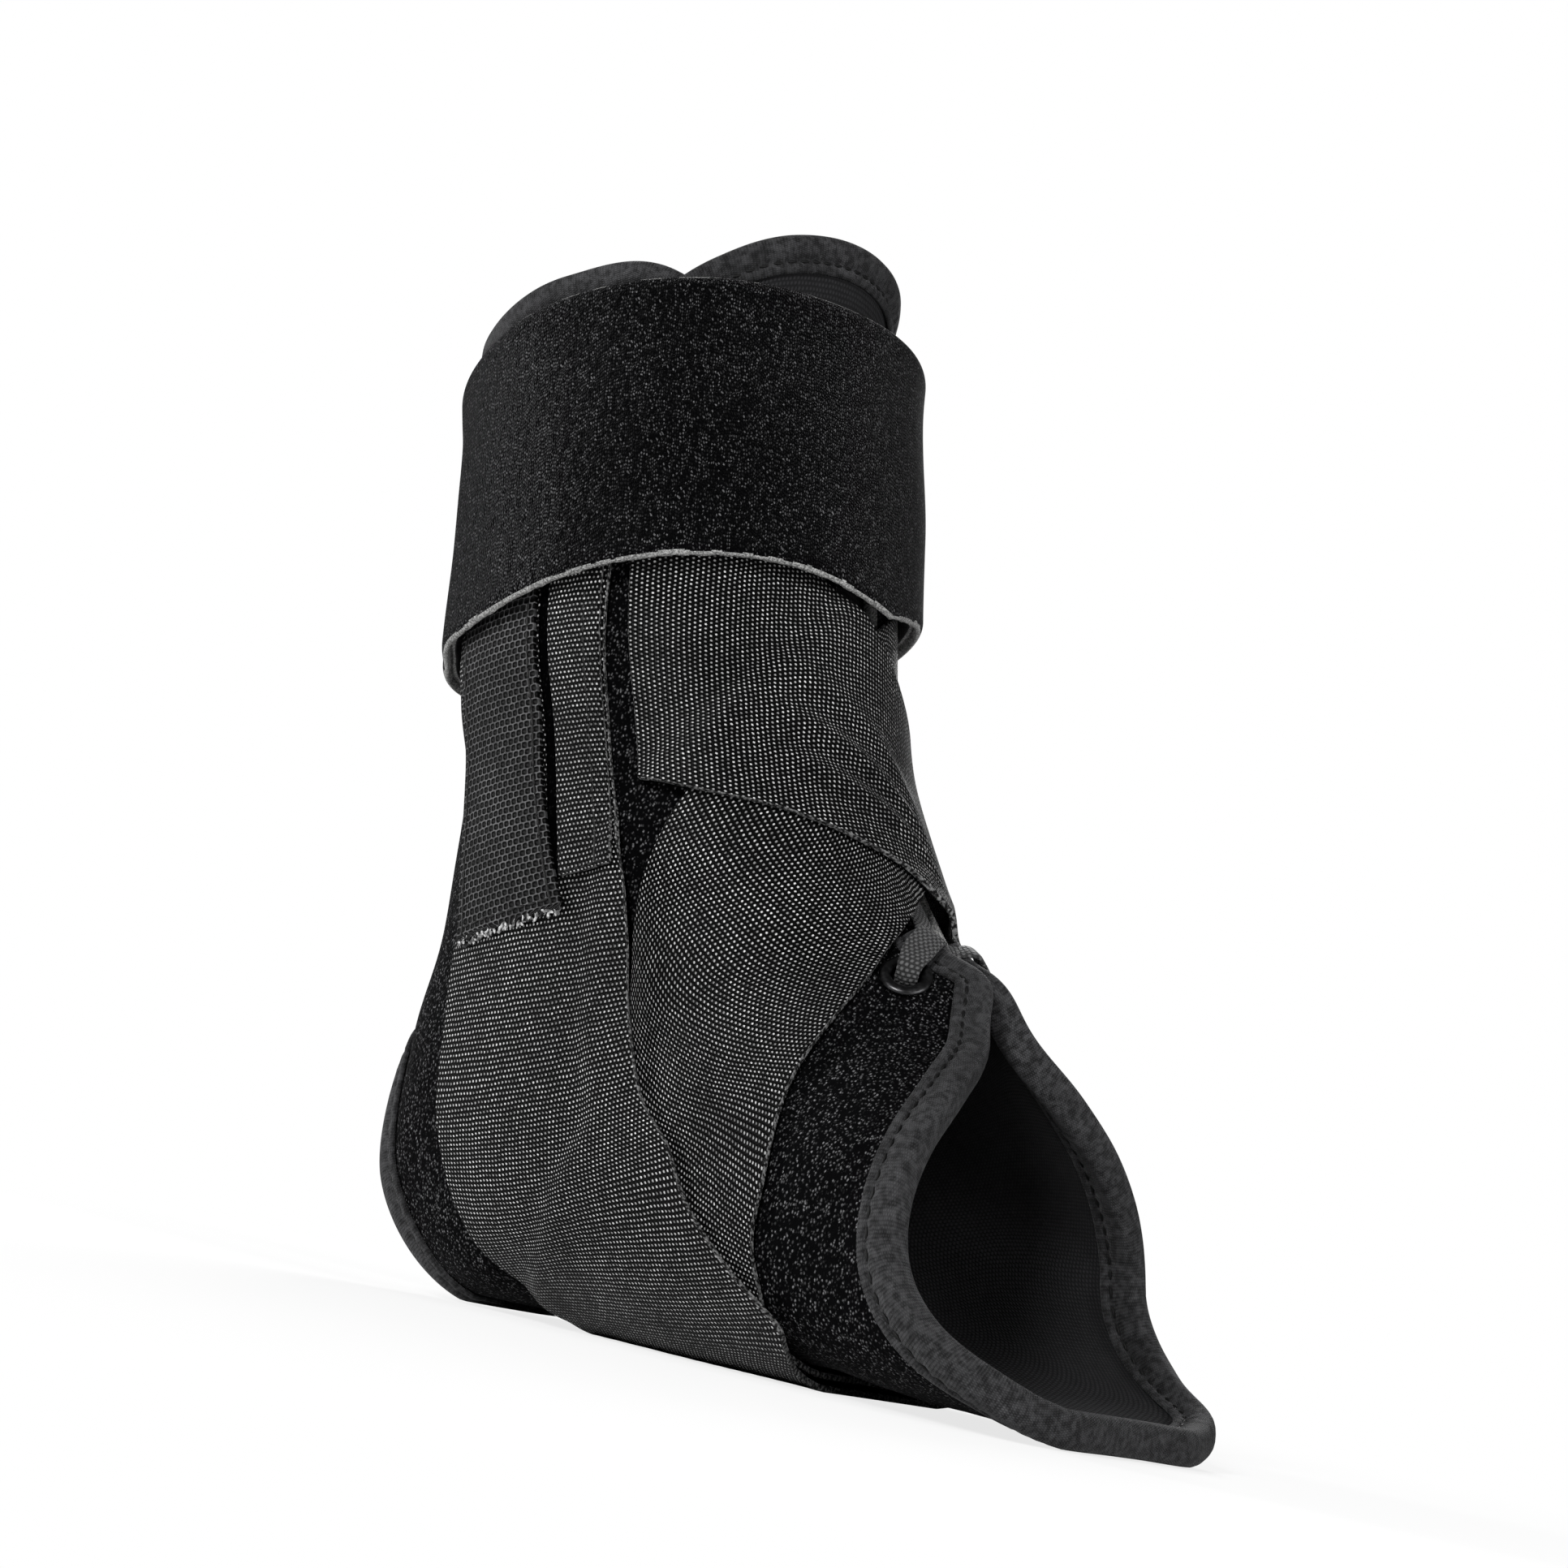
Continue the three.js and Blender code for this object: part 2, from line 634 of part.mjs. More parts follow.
// A domed plug through the wall, as wide as the opening
function heelCutter() {
  const sides = heelSides;
  const circles = 4;
  const reach = 2.5 * shellWall;
  const points = [];
  const faces = [];
  for (const height of [reach, -reach]) {
    points.push(over(heelOpening.station, heelOpening.turn, height));
    for (let circle = 1; circle <= circles; circle += 1) {
      for (let i = 0; i < sides; i += 1) {
        const [station, turn] = heelEdge(i / sides);
        const share = circle / circles;
        points.push(over(
          mix(heelOpening.station, station, share),
          mix(heelOpening.turn, turn, share),
          height,
        ));
      }
    }
  }
  const layer = points.length / 2;
  const id = (top, circle, i) => top * layer + 1 + (circle - 1) * sides + (i % sides);
  for (let i = 0; i < sides; i += 1) {
    faces.push([0, id(0, 1, i), id(0, 1, i + 1)], [layer, id(1, 1, i + 1), id(1, 1, i)]);
    for (let circle = 1; circle < circles; circle += 1) {
      quad(faces, id(0, circle, i), id(0, circle + 1, i), id(0, circle + 1, i + 1), id(0, circle, i + 1));
      quad(faces, id(1, circle, i), id(1, circle, i + 1), id(1, circle + 1, i + 1), id(1, circle + 1, i));
    }
    quad(faces, id(0, circles, i), id(1, circles, i), id(1, circles, i + 1), id(0, circles, i + 1));
  }
  return closedGeometry(points, faces);
}

function eyeletPlace(side) {
  const turn = eyelet.turn * side;
  const up = normal(eyelet.station, turn);
  return { point: skin(eyelet.station, turn), up };
}

function eyeletCutter(side) {
  const { point, up } = eyeletPlace(side);
  const radius = eyeletBore / 2 + eyeletWall + clearance;
  const geometry = new THREE.CylinderGeometry(radius, radius, 4 * shellWall, roundSides);
  geometry.applyQuaternion(new THREE.Quaternion().setFromUnitVectors(new THREE.Vector3(0, 1, 0), up));
  geometry.translate(point.x, point.y, point.z);
  return geometry;
}

// The shell runs from one edge of the lacing gap round the back to the other, u from 0 to 1, and
// from its top edge to its toe edge, v from 0 to 1
function shellPlace(u, v) {
  let station = 5;
  let turn = 180;
  for (let pass = 0; pass < 6; pass += 1) {
    const gap = read(lacingGap, "station", "turn", station);
    const share = read(shellColumns, "column", "turn", Math.min(u, 1 - u)) / 180;
    const half = mix(gap, 180, share);
    turn = u > 0.5 ? 360 - half : half;
    const top = read(topEdge, "turn", "station", folded(turn));
    const toe = read(toeEdge, "turn", "station", folded(turn));
    station = mix(top, toe, v);
  }
  return [station, turn];
}

function shellSolid() {
  const place = (u, v) => shellPlace(u, read(shellLines, "line", "share", v));
  const walls = sheet(shellCells, place, () => -shellWall, shellWall);
  let solid = toManifold(walls).subtract(toManifold(heelCutter()));
  for (const side of [1, -1]) {
    solid = solid.subtract(toManifold(eyeletCutter(side)));
  }
  return solid;
}

// One half of the shell. The halves are sewn together up the back and along the sole.
function shellGeometry(whole, side) {
  return fromManifold(whole.trimByPlane([0, -side, 0], seamGap / 2));
}

// Folded tapes on the shell's edges

const onSkin = () => 0;

function topBindingGeometry() {
  return foldedTape((t) => shellPlace(t, 0), shellCells.across, false, 1, onSkin, shellWall);
}

function frontBindingGeometry() {
  return foldedTape((t) => shellPlace(t, 1), shellCells.across, false, -1, onSkin, shellWall);
}

function heelBindingGeometry() {
  return foldedTape(heelEdge, heelSides, true, 1, onSkin, shellWall);
}

// The tongue

function tonguePlace(u, v) {
  const side = 2 * u - 1;
  const top = tongue.topStation + tongue.cornerDrop * Math.abs(side) ** tongue.topCurve;
  const station = mix(top, tongue.endStation, v ** tongue.crowding);
  const down = station - tongue.narrowFrom;
  const half = mix(tongue.topTurn, tongue.lowTurn, smooth(down / tongue.narrowOver));
  const twist = tongue.twist * (1 - smooth(down / tongue.untwistOver));
  return [station, twist + side * half];
}

// Height of the tongue's outer face, which dips below the bound top of the shell
function tongueFace(station, turn) {
  const base = -(shellWall + tongueClearance);
  const sink = smooth((station - tongueDip.from) / tongueDip.over);
  const dip = sink * (1 - smooth((station - tongueDip.until) / tongueDip.fade));
  const aside = smooth((folded(turn - tongue.twist) - tongueSide.turn) / tongueSide.over);
  const side = aside * (1 - smooth((station - tongueSide.until) / tongueSide.fade));
  const end = smooth((station - tongueEnd.from) / tongueEnd.over);
  return base - bindingRise * Math.max(dip, end) - (bindingRise + tongueClearance) * side;
}

function tongueGeometry() {
  return sheet(tongueCells, tonguePlace, (s, t) => tongueFace(s, t) - tonguePad, tonguePad);
}

function tongueBindingGeometry() {
  return foldedTape((t) => tonguePlace(t, 0), 2 * tongueCells.across, false, 1, tongueFace, tonguePad);
}

// Straps, hook tapes and cuff

function strapPlace(side) {
  const rows = strapRoute.map((row) => {
    return [row.rearStation, row.rearTurn * side, row.foreStation, row.foreTurn * side];
  });
  return (u, v) => {
    const [rearStation, rearTurn, foreStation, foreTurn] = between(rows, v * (rows.length - 1));
    return [mix(rearStation, foreStation, u), mix(rearTurn, foreTurn, u)];
  };
}

// Share of the lift that clears the other strap: 1 over it and 0 away from it
function crossing() {
  const lower = strapPlace(-1);
  const samples = [];
  const { nearby, fade, lines, columns } = crossingReach;
  for (let i = 0; i <= lines; i += 1) {
    for (let j = 0; j <= columns; j += 1) {
      samples.push(skin(...lower(j / columns, i / lines)));
    }
  }
  return (station, turn) => {
    const point = skin(station, turn);
    let least = Infinity;
    for (const sample of samples) {
      least = Math.min(least, point.distanceToSquared(sample));
    }
    return 1 - smooth((Math.sqrt(least) - nearby) / fade);
  };
}

// Height of a strap's underside: the right strap lies over the left one wherever they cross
function strapUnder(side) {
  const lifted = side > 0 ? crossing() : () => 0;
  return (station, turn) => mix(lowLayer, highLayer, lifted(station, turn));
}

function strapGeometry(side) {
  return sheet(strapCells, strapPlace(side), strapUnder(side), webbing);
}

function tapeGeometry(side) {
  const rows = tapeRoute.map((row) => [row.station, row.rearTurn * side, row.foreTurn * side]);
  const place = (u, v) => {
    const [station, rearTurn, foreTurn] = between(rows, v * (rows.length - 1));
    return [station, mix(rearTurn, foreTurn, u)];
  };
  const strap = strapUnder(side);
  return sheet(tapeCells, place, (s, t) => strap(s, t) + webbing + clearance, hookThickness);
}

function cuffGeometry() {
  const wrap = 360 + cuffOverlap;
  const place = (u, v) => {
    const turn = cuffStart + wrap * v;
    const top = read(cuffTop, "turn", "station", folded(turn));
    const bottom = read(cuffBottom, "turn", "station", folded(turn));
    return [mix(top, bottom, u), turn];
  };
  const under = (station, turn) => {
    const beside = smooth((folded(turn) - cuffSide.turn) / cuffSide.fade);
    const behind = smooth((folded(turn) - cuffBack.turn) / cuffBack.fade);
    const below = mix(mix(cuffOverStraps, cuffOverTape, beside), cuffOverSkin, behind);
    const base = mix(cuffOverBinding, below, smooth((station - cuffDrop.station) / cuffDrop.fade));
    const layer = smooth((turn - (cuffStart + 360 - cuffLead)) / cuffRamp);
    return base + (cuffWall + clearance) * layer;
  };
  return sheet(cuffCells, place, under, cuffWall);
}

function eyeletMesh(side) {
  const bore = eyeletBore / 2;
  const barrel = bore + eyeletWall;
  const flange = barrel + eyeletFlange;
  const top = clearance + eyeletRise;
  const profile = [
    [bore, -shellWall + clearance],
    [barrel, -shellWall + clearance],
    [barrel, clearance],
    [flange, clearance],
    [flange, clearance + eyeletRise / 2],
    [flange - eyeletFlange / 3, top],
    [barrel, top],
    [bore, clearance + eyeletRise / 2],
    [bore, -shellWall + clearance],
  ].map(([x, y]) => new THREE.Vector2(x, y));
  const mesh = new THREE.Mesh(new THREE.LatheGeometry(profile, roundSides), finish.eyelet);
  const { point, up } = eyeletPlace(side);
  mesh.position.copy(point);
  mesh.quaternion.setFromUnitVectors(new THREE.Vector3(0, 1, 0), up);
  return mesh;
}

// Colours and finishes
const finish = {
  loop: new THREE.MeshStandardMaterial({ color: 0x1b1b1c, roughness: 0.95, metalness: 0 }),
  webbing: new THREE.MeshStandardMaterial({ color: 0x2a2a2b, roughness: 0.7, metalness: 0 }),
  tape: new THREE.MeshStandardMaterial({ color: 0x2c2c2d, roughness: 0.9, metalness: 0 }),
  hook: new THREE.MeshStandardMaterial({ color: 0x232324, roughness: 0.8, metalness: 0 }),
  foam: new THREE.MeshStandardMaterial({ color: 0x222223, roughness: 0.95, metalness: 0 }),
  cord: new THREE.MeshStandardMaterial({ color: 0x3a3a3b, roughness: 0.85, metalness: 0 }),
  eyelet: new THREE.MeshStandardMaterial({ color: 0x1d1d1e, roughness: 0.4, metalness: 0.6 }),
};

const brace = new THREE.Group();

function add(name, geometry, material) {
  const mesh = new THREE.Mesh(geometry, material);
  mesh.name = name;
  brace.add(mesh);
}

const shell = shellSolid();
add("shell_right", shellGeometry(shell, 1), finish.loop);
add("shell_left", shellGeometry(shell, -1), finish.loop);
add("top_binding", topBindingGeometry(), finish.tape);
add("front_binding", frontBindingGeometry(), finish.tape);
add("heel_binding", heelBindingGeometry(), finish.tape);
add("tongue", tongueGeometry(), finish.foam);
add("tongue_binding", tongueBindingGeometry(), finish.tape);
add("cuff", cuffGeometry(), finish.loop);
for (const [name, side] of [["right", 1], ["left", -1]]) {
  add(`strap_${name}`, strapGeometry(side), finish.webbing);
  add(`hook_tape_${name}`, tapeGeometry(side), finish.hook);
  add(`lace_${name}`, flatCord(laceRoute, laceCells, side, side > 0 ? 0 : lowerLaceDrop), finish.cord);
  const ring = eyeletMesh(side);
  ring.name = `eyelet_${name}`;
  brace.add(ring);
}

brace.updateMatrixWorld(true);
const box = new THREE.Box3().setFromObject(brace, true);
const middle = box.getCenter(new THREE.Vector3());
brace.position.set(-middle.x, -middle.y, -box.min.z);

export default brace;
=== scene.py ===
"""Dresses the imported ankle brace: padded cloth, webbing, tape, laces, stitches and eyelets."""

import math

import bmesh
import bpy
import numpy as np
from bpy.props import FloatProperty, FloatVectorProperty, IntProperty, PointerProperty
from bpy.types import Operator, Panel, PropertyGroup
from mathutils import Matrix, Vector
from mathutils.kdtree import KDTree


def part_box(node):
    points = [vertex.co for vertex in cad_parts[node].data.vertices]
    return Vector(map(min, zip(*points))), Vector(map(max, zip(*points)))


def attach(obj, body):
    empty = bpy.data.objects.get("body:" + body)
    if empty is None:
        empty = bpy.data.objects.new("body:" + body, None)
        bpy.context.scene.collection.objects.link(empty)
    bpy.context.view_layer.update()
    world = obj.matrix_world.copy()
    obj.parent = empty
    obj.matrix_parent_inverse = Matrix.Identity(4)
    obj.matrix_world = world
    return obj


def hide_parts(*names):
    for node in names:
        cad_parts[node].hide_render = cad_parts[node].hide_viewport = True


bl_info = {
    "name": "Ankle brace",
    "version": (1, 0, 0),
    "blender": (4, 5, 0),
    "location": "View3D > Sidebar > Brace",
    "description": "Builds a lace-up ankle brace over its packed solids",
    "category": "Object",
}

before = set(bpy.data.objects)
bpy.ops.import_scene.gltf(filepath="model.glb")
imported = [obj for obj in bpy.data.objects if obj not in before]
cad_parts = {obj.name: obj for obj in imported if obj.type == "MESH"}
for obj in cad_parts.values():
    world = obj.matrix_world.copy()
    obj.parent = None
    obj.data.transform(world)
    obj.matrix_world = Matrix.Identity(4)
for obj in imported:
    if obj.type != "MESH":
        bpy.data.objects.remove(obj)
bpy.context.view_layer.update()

MM = 0.001

# Driving dimensions of the body, in millimetres and degrees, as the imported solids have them
LEG_LEAN = 11.0
LEG_HEIGHT = 165.0
LEG_DEPTH = 100.0
LEG_WIDTH = 94.0
ANKLE_HEIGHT = 80.0
ANKLE_REACH = 51.0
FOOT_LENGTH = 182.0
FOOT_WIDTH = 96.0
INSTEP_HEIGHT = 103.0

# Thicknesses and clearances
CLEARANCE = 0.45
STRAP_CLEARANCE = 0.7
CROSS_CLEARANCE = 0.95
BINDING_RISE = 2.35
TONGUE_CLEARANCE = 1.15
SHELL_WALL = 3.0
WEBBING = 1.3
HOOK_TAPE = 0.9
CUFF_WALL = 3.2
TONGUE_PAD = 4.5
LACE_THICKNESS = 1.2
LACE_WIDTH = 6.4
BINDING_WIDTH = 6.3
EYELET_BORE = 5.8
EYELET_WALL = 0.5
EYELET_FLANGE = 1.9
EYELET_RISE = 0.8
SOLE_FLAT = 0.6

# Heights over the shell's outer face
LOW_LAYER = STRAP_CLEARANCE
HIGH_LAYER = LOW_LAYER + WEBBING + CROSS_CLEARANCE
STRAP_STACK = HIGH_LAYER + WEBBING
CUFF_OVER_BINDING = BINDING_RISE + CLEARANCE
CUFF_OVER_STRAPS = STRAP_STACK + CLEARANCE
CUFF_OVER_TAPE = LOW_LAYER + WEBBING + HOOK_TAPE + 3 * CLEARANCE
CUFF_OVER_SKIN = 2 * CLEARANCE

# Sections up the shin: up, front, back, half, bend_front, bend_back
LEG_SECTIONS = (
    (1.0, 0.53, -0.475, 0.5, 2, 2),
    (0.848, 0.475, -0.465, 0.479, 2, 2),
    (0.679, 0.465, -0.462, 0.457, 2, 2),
    (0.515, 0.47, -0.475, 0.436, 2, 2),
    (0.352, 0.485, -0.505, 0.426, 2, 2),
    (0.206, 0.515, -0.47, 0.42, 2, 2),
)

# Sections along the foot: front_x, front_z, back_x, back_z, half, bend_front, bend_back
FOOT_SECTIONS = (
    (0.593, 1.0, 0.005, 0.9, 0.417, 2, 2),
    (0.637, 0.903, -0.008, 0.575, 0.406, 2, 2.1),
    (0.679, 0.83, 0.0055, 0.212, 0.385, 2, 2.3),
    (0.72, 0.767, 0.154, 0, 0.385, 2, 2.8),
    (0.758, 0.718, 0.341, 0, 0.396, 2, 3.2),
    (0.808, 0.66, 0.522, 0, 0.4375, 2, 3.4),
    (0.857, 0.602, 0.687, 0, 0.469, 2.1, 3.4),
    (0.923, 0.544, 0.852, 0, 0.5, 2.1, 3.4),
    (1.0, 0.485, 1.016, 0, 0.52, 2.1, 3.4),
)

# The arch, where both straps pass under the shell, and the foot's first flat station
FIRST_ARCH = 9.6
LAST_ARCH = 12.25
ARCH_RAMP = 0.45
FIRST_FLAT = 8.0

# The flap's gentle lift round the foot of the lacing gap
FLAP_LIFT = 3.4
FLAP_MIDDLE = 9.1
FLAP_REACH = 0.9
FLAP_TURN = 24.0
FLAP_WAY = (0.6, 0.0, 0.8)

# Edges over the body, as turn and station
TOP_EDGE = ((0, 2.05), (20, 1.95), (35, 1.75), (50, 1.42), (62, 1.2), (90, 1.15), (127, 1.25), (180, 1.3))
TOE_EDGE = (
    (3, 9.0), (7, 9.5), (12, 10.05), (17, 10.5), (34, 11.37), (56.5, 12.0), (70.5, 12.25), (83, 12.44),
    (91, 12.62), (97, 12.85), (110, 13.2), (130, 13.6), (155, 13.82), (180, 13.86),
)
CUFF_TOP = ((0, 1.3), (72, 1.3), (98, 1.4), (115, 1.5), (180, 1.6))
CUFF_BOTTOM = (
    (0, 3.72), (10, 3.65), (25, 3.55), (71, 3.55), (94, 3.68), (108, 3.78), (128, 3.88), (180, 3.88),
)

# The lacing gap, as station and half its width in turns
LACING_GAP = ((1, 11), (5, 11), (7.2, 12), (7.8, 10), (8.4, 5.5), (9, 3))

# The cuff: the share of its width over which a cut edge shows its foam, its start and its wrap
CUT_EDGE = 0.014
CUFF_START = -125.0
CUFF_WRAP = 400.0

# Where the cuff's underside changes, as the turn or station that it starts at and what it takes: onto the
# hook tape, onto the bare shell, down from the top binding; and where its end rises over its start
CUFF_SIDE = (84.0, 12.0)
CUFF_BACK = (121.0, 22.0)
CUFF_DROP = (1.5, 1.2)
CUFF_LEAD = 28.0
CUFF_RAMP = 24.0

# The heel opening: the station and turn of its middle, and its reach in each
HEEL_OPENING = (7.95, 180.0, 1.2, 35.0)

TONGUE = {
    "top": 0.64,
    "corner_drop": 0.62,
    "end": 9.3,
    "top_turn": 72.0,
    "low_turn": 36.0,
    "twist": -6.0,
    "narrow_from": 1.0,
    "narrow_over": 3.0,
    "untwist_over": 4.0,
    "top_curve": 2.1,
}

# Where the tongue's face dips under the shell's bound edges: starts, what they take, ends, what they take
TONGUE_DIP = (0.92, 0.85, 2.8, 0.7)
TONGUE_SIDE = (34.0, 22.0, 2.0, 0.7)
TONGUE_END = (8.1, 0.4)

# The eyelets' station and turn
EYELET = (8.55, 23.5)

# One strap from its cut end over the instep, down the other side, under the arch and up its own side:
# rear_station, rear_turn, fore_station, fore_turn
STRAP_ROUTE = (
    (3.35, 69, 5.35, 69),
    (3.3, 50, 5.5, 54),
    (3.35, 33, 5.66, 37),
    (3.52, 17, 5.92, 20),
    (3.85, 0, 6.28, 5),
    (4.35, -18, 7.05, -9),
    (4.95, -40, 7.6, -18),
    (5.53, -60, 8.4, -31),
    (6.1, -69, 9.0, -43),
    (6.8, -72, 9.6, -55),
    (7.6, -74, 10.33, -71),
    (8.4, -79, 10.95, -88),
    (9.2, -90, 11.4, -98),
    (9.8, -106, 11.75, -113),
    (9.98, -117, 11.87, -124),
    (10.1, -128, 11.95, -135),
    (10.14, -140, 12.0, -147),
    (10.15, -157, 12.05, -160),
    (10.15, -180, 12.1, -190),
    (10.12, -200, 12.12, -218),
    (10.0, -208, 12.12, -229),
    (9.8, -217, 12.03, -239),
    (9.5, -227, 11.45, -252.5),
    (9.05, -236, 10.65, -264),
    (8.6, -241, 9.75, -270.5),
    (8.1, -244, 8.9, -279),
    (7.5, -244, 8.1, -285),
    (6.9, -242, 7.25, -287),
    (6.2, -239, 6.35, -287),
    (5.2, -234, 5.3, -284.5),
    (4.2, -231, 4.3, -284.5),
    (3.2, -230, 3.2, -286),
    (2.3, -230, 2.3, -286),
)

# Hook tape on the upright run of each strap: station, rear_turn, fore_turn
TAPE_ROUTE = (
    (2.5, 121, 94),
    (3.7, 122, 94),
    (4.6, 124, 93.5),
    (5.2, 124, 93.5),
    (5.83, 121, 90.5),
    (6.4, 117, 87),
)

# A lace up through its eyelet, over the flap and down into the gap: station, turn, height, width
LACE_ROUTE = (
    (8.57, 23.5, -2.0, 0.66),
    (8.55, 23.3, 0.4, 0.68),
    (8.42, 21.5, 2.3, 0.8),
    (8.17, 17.6, 2.9, 1),
    (7.95, 13.6, 3.3, 1),
    (7.78, 10.2, 3.3, 1),
    (7.62, 7.2, 1.7, 1),
    (7.42, 4.0, -0.3, 1),
    (6.95, 1.0, -0.85, 1),
    (6.0, 0, -0.85, 1),
)
# Where along its route the lower lace sinks and over what, its drop, and where both turn down
LACE_SINK = (0.5, 0.2)
LACE_TURNS_DOWN = 0.7
LOWER_LACE_DROP = 1.75

# Creases along the upper strap where it bends over the instep: share of the width, slant along the
# strap, reach in shares of the width and height; and the rows of the route between which they show
CREASES = (
    (0.42, 0.03, 0.06, 0.9),
    (0.62, 0.01, 0.05, 1.7),
    (0.78, -0.01, 0.045, 1.4),
)
CREASE_ROWS = (1.6, 1.1, 4.2, 0.9)

# The upper strap is raised this near to the lower one, and comes down to the shell over so much more
CROSSING_NEARBY = 6.0
CROSSING_FADE = 7.0

# The webbing turned over along the front edge of each upright run: station, rear_turn, fore_turn; its
# thickness, the width in degrees of the slot beside it, and the height of its rounded middle
FOLD_ROUTE = (
    (2.4, 89.4, 75.2),
    (3.6, 89.8, 75.6),
    (4.6, 89.4, 76.0),
    (5.5, 88.9, 75.7),
    (6.05, 88.2, 75.2),
)
FOLD_WALL = 1.2
FOLD_GAP = 3.4
FOLD_CROWN = 0.25

# How far the hook tape and the folded webbing lie over the strap
TAPE_LIFT = 0.3
FOLD_LIFT = 0.25

# The front binding's top station, and how far along the edge its corners are rounded
FLAP_TOP = 7.45
CORNER_CALM = 6.0

# A binding: its lift over the cloth, and how far its stitches draw it in and its cloth waves
TAPE_GAP = 0.12
PUCKER = 0.34
TAPE_WAVE = 0.12

# The size in millimetres of each cloth's gentle waves
SHELL_WAVE = 30
TONGUE_WAVE = 34
CUFF_WAVE = 44
STRAP_WAVE = 30
BINDING_WAVE = 26

# The shell's waves grow over one part in so many of its width and length, and start outside so many
# radii of the heel opening; and the shell lies a little under the solid's face
SHELL_STILL = (20, 12)
HEEL_STILL = 1.25
SHELL_SINK = 0.1

# The cuff's pressed edge: its share of the width and of the thickness, and how its cells crowd there;
# and how ragged its cut is, in millimetres, with the millimetres of a station
CUFF_EDGE = 0.045
CUFF_PRESSED = 0.55
CUFF_CROWD = 0.13
CUFF_RAGGED = 0.18
STATION_LENGTH = 27

# The frayed end of a hook tape: its share of the length, how ragged it is in stations, and its threads
FRAYED = 0.03
FRAY_DEPTH = 0.03
FRAY_THREADS = 70

# The shell's cells across and along, and the corners of a cell
SHELL_CELLS = (220, 150)
CORNERS = ((0, 0), (1, 0), (1, 1), (0, 1))

# Steps for working out directions, in stations, turns, shares and along an edge, and the longest step of
# a walk over the skin
STATION_STEP = 0.02
TURN_STEP = 0.4
SHARE_STEP = 0.003
EDGE_STEP = 0.002
WALK_STEP = 1.2


def smooth(x):
    t = np.clip(x, 0.0, 1.0)
    return t * t * (3 - 2 * t)


def mix(a, b, t):
    return a + (b - a) * t


def curve(table, x):
    """A table of two columns, read at x along a smooth curve."""
    xs, ys = np.array(table, float).T
    slopes = np.gradient(ys, xs)
    at = np.clip(np.searchsorted(xs, x) - 1, 0, len(xs) - 2)
    width = xs[at + 1] - xs[at]
    t = np.clip((x - xs[at]) / width, 0, 1)
    start = (2 * t**3 - 3 * t**2 + 1) * ys[at] + (t**3 - 2 * t**2 + t) * width * slopes[at]
    end = (3 * t**2 - 2 * t**3) * ys[at + 1] + (t**3 - t**2) * width * slopes[at + 1]
    return start + end


def between(rows, place):
    """Rows of numbers, read at fractional places along a smooth curve."""
    last = len(rows) - 1
    at = np.clip(np.floor(place).astype(int), 0, last - 1)
    t = (place - at)[:, None]
    b = rows[at]
    c = rows[at + 1]
    a = np.where((at > 0)[:, None], rows[np.maximum(at - 1, 0)], 2 * b - c)
    d = np.where((at + 2 <= last)[:, None], rows[np.minimum(at + 2, last)], 2 * c - b)
    bend = (2 * a - 5 * b + 4 * c - d) * t**2
    twist = (3 * b - a - 3 * c + d) * t**3
    return 0.5 * (2 * b + (c - a) * t + bend + twist)


def folded(turn):
    """Turn folded to 0..180, the same on both sides of the body."""
    whole = np.mod(turn, 360.0)
    return np.where(whole > 180, 360 - whole, whole)


def sole_level(station):
    rise = smooth((station - FIRST_ARCH) / ARCH_RAMP)
    fall = smooth((station - LAST_ARCH) / ARCH_RAMP)
    return mix(BINDING_RISE, STRAP_STACK, rise * (1 - fall))


def body_rows():
    lean = math.radians(LEG_LEAN)
    rows = []
    for up, front, back, half, bend_front, bend_back in LEG_SECTIONS:
        x = ANKLE_REACH - up * LEG_HEIGHT * math.sin(lean)
        z = ANKLE_HEIGHT + up * LEG_HEIGHT * math.cos(lean)
        row = []
        for reach in (front * LEG_DEPTH, back * LEG_DEPTH):
            row += [x + reach * math.cos(lean), z + reach * math.sin(lean)]
        rows.append(row + [half * LEG_WIDTH, bend_front, bend_back])
    for index, (front_x, front_z, back_x, back_z, half, bend_front, bend_back) in enumerate(FOOT_SECTIONS):
        sole = sole_level(len(LEG_SECTIONS) + index) - SOLE_FLAT if back_z == 0 else 0
        rows.append([
            front_x * FOOT_LENGTH,
            front_z * INSTEP_HEIGHT,
            back_x * FOOT_LENGTH,
            back_z * ANKLE_HEIGHT + sole,
            half * FOOT_WIDTH,
            bend_front,
            bend_back,
        ])
    return np.array(rows, float)


BODY = body_rows()


def skin(station, turn):
    """Points of the shell's outer face, for arrays of stations and turns."""
    front_x, front_z, back_x, back_z, half, bend_front, bend_back = between(BODY, station).T
    c = np.cos(np.radians(turn))
    s = np.sin(np.radians(turn))
    power = 2 / np.where(c >= 0, bend_front, bend_back)
    along = np.sign(c) * np.abs(c) ** power
    across = np.sign(s) * np.abs(s) ** power
    away = ((station - FLAP_MIDDLE) / FLAP_REACH) ** 2 + (folded(turn) / FLAP_TURN) ** 2
    lift = FLAP_LIFT * np.exp(-away)
    x = (front_x + back_x) / 2 + (front_x - back_x) / 2 * along + lift * FLAP_WAY[0]
    z = (front_z + back_z) / 2 + (front_z - back_z) / 2 * along + lift * FLAP_WAY[2]
    z = np.where(station > FIRST_FLAT, np.maximum(z, sole_level(station)), z)
    return np.stack([x, -half * across, z], axis=1)


def unit(vectors):
    return vectors / np.maximum(np.linalg.norm(vectors, axis=1, keepdims=True), 1e-9)


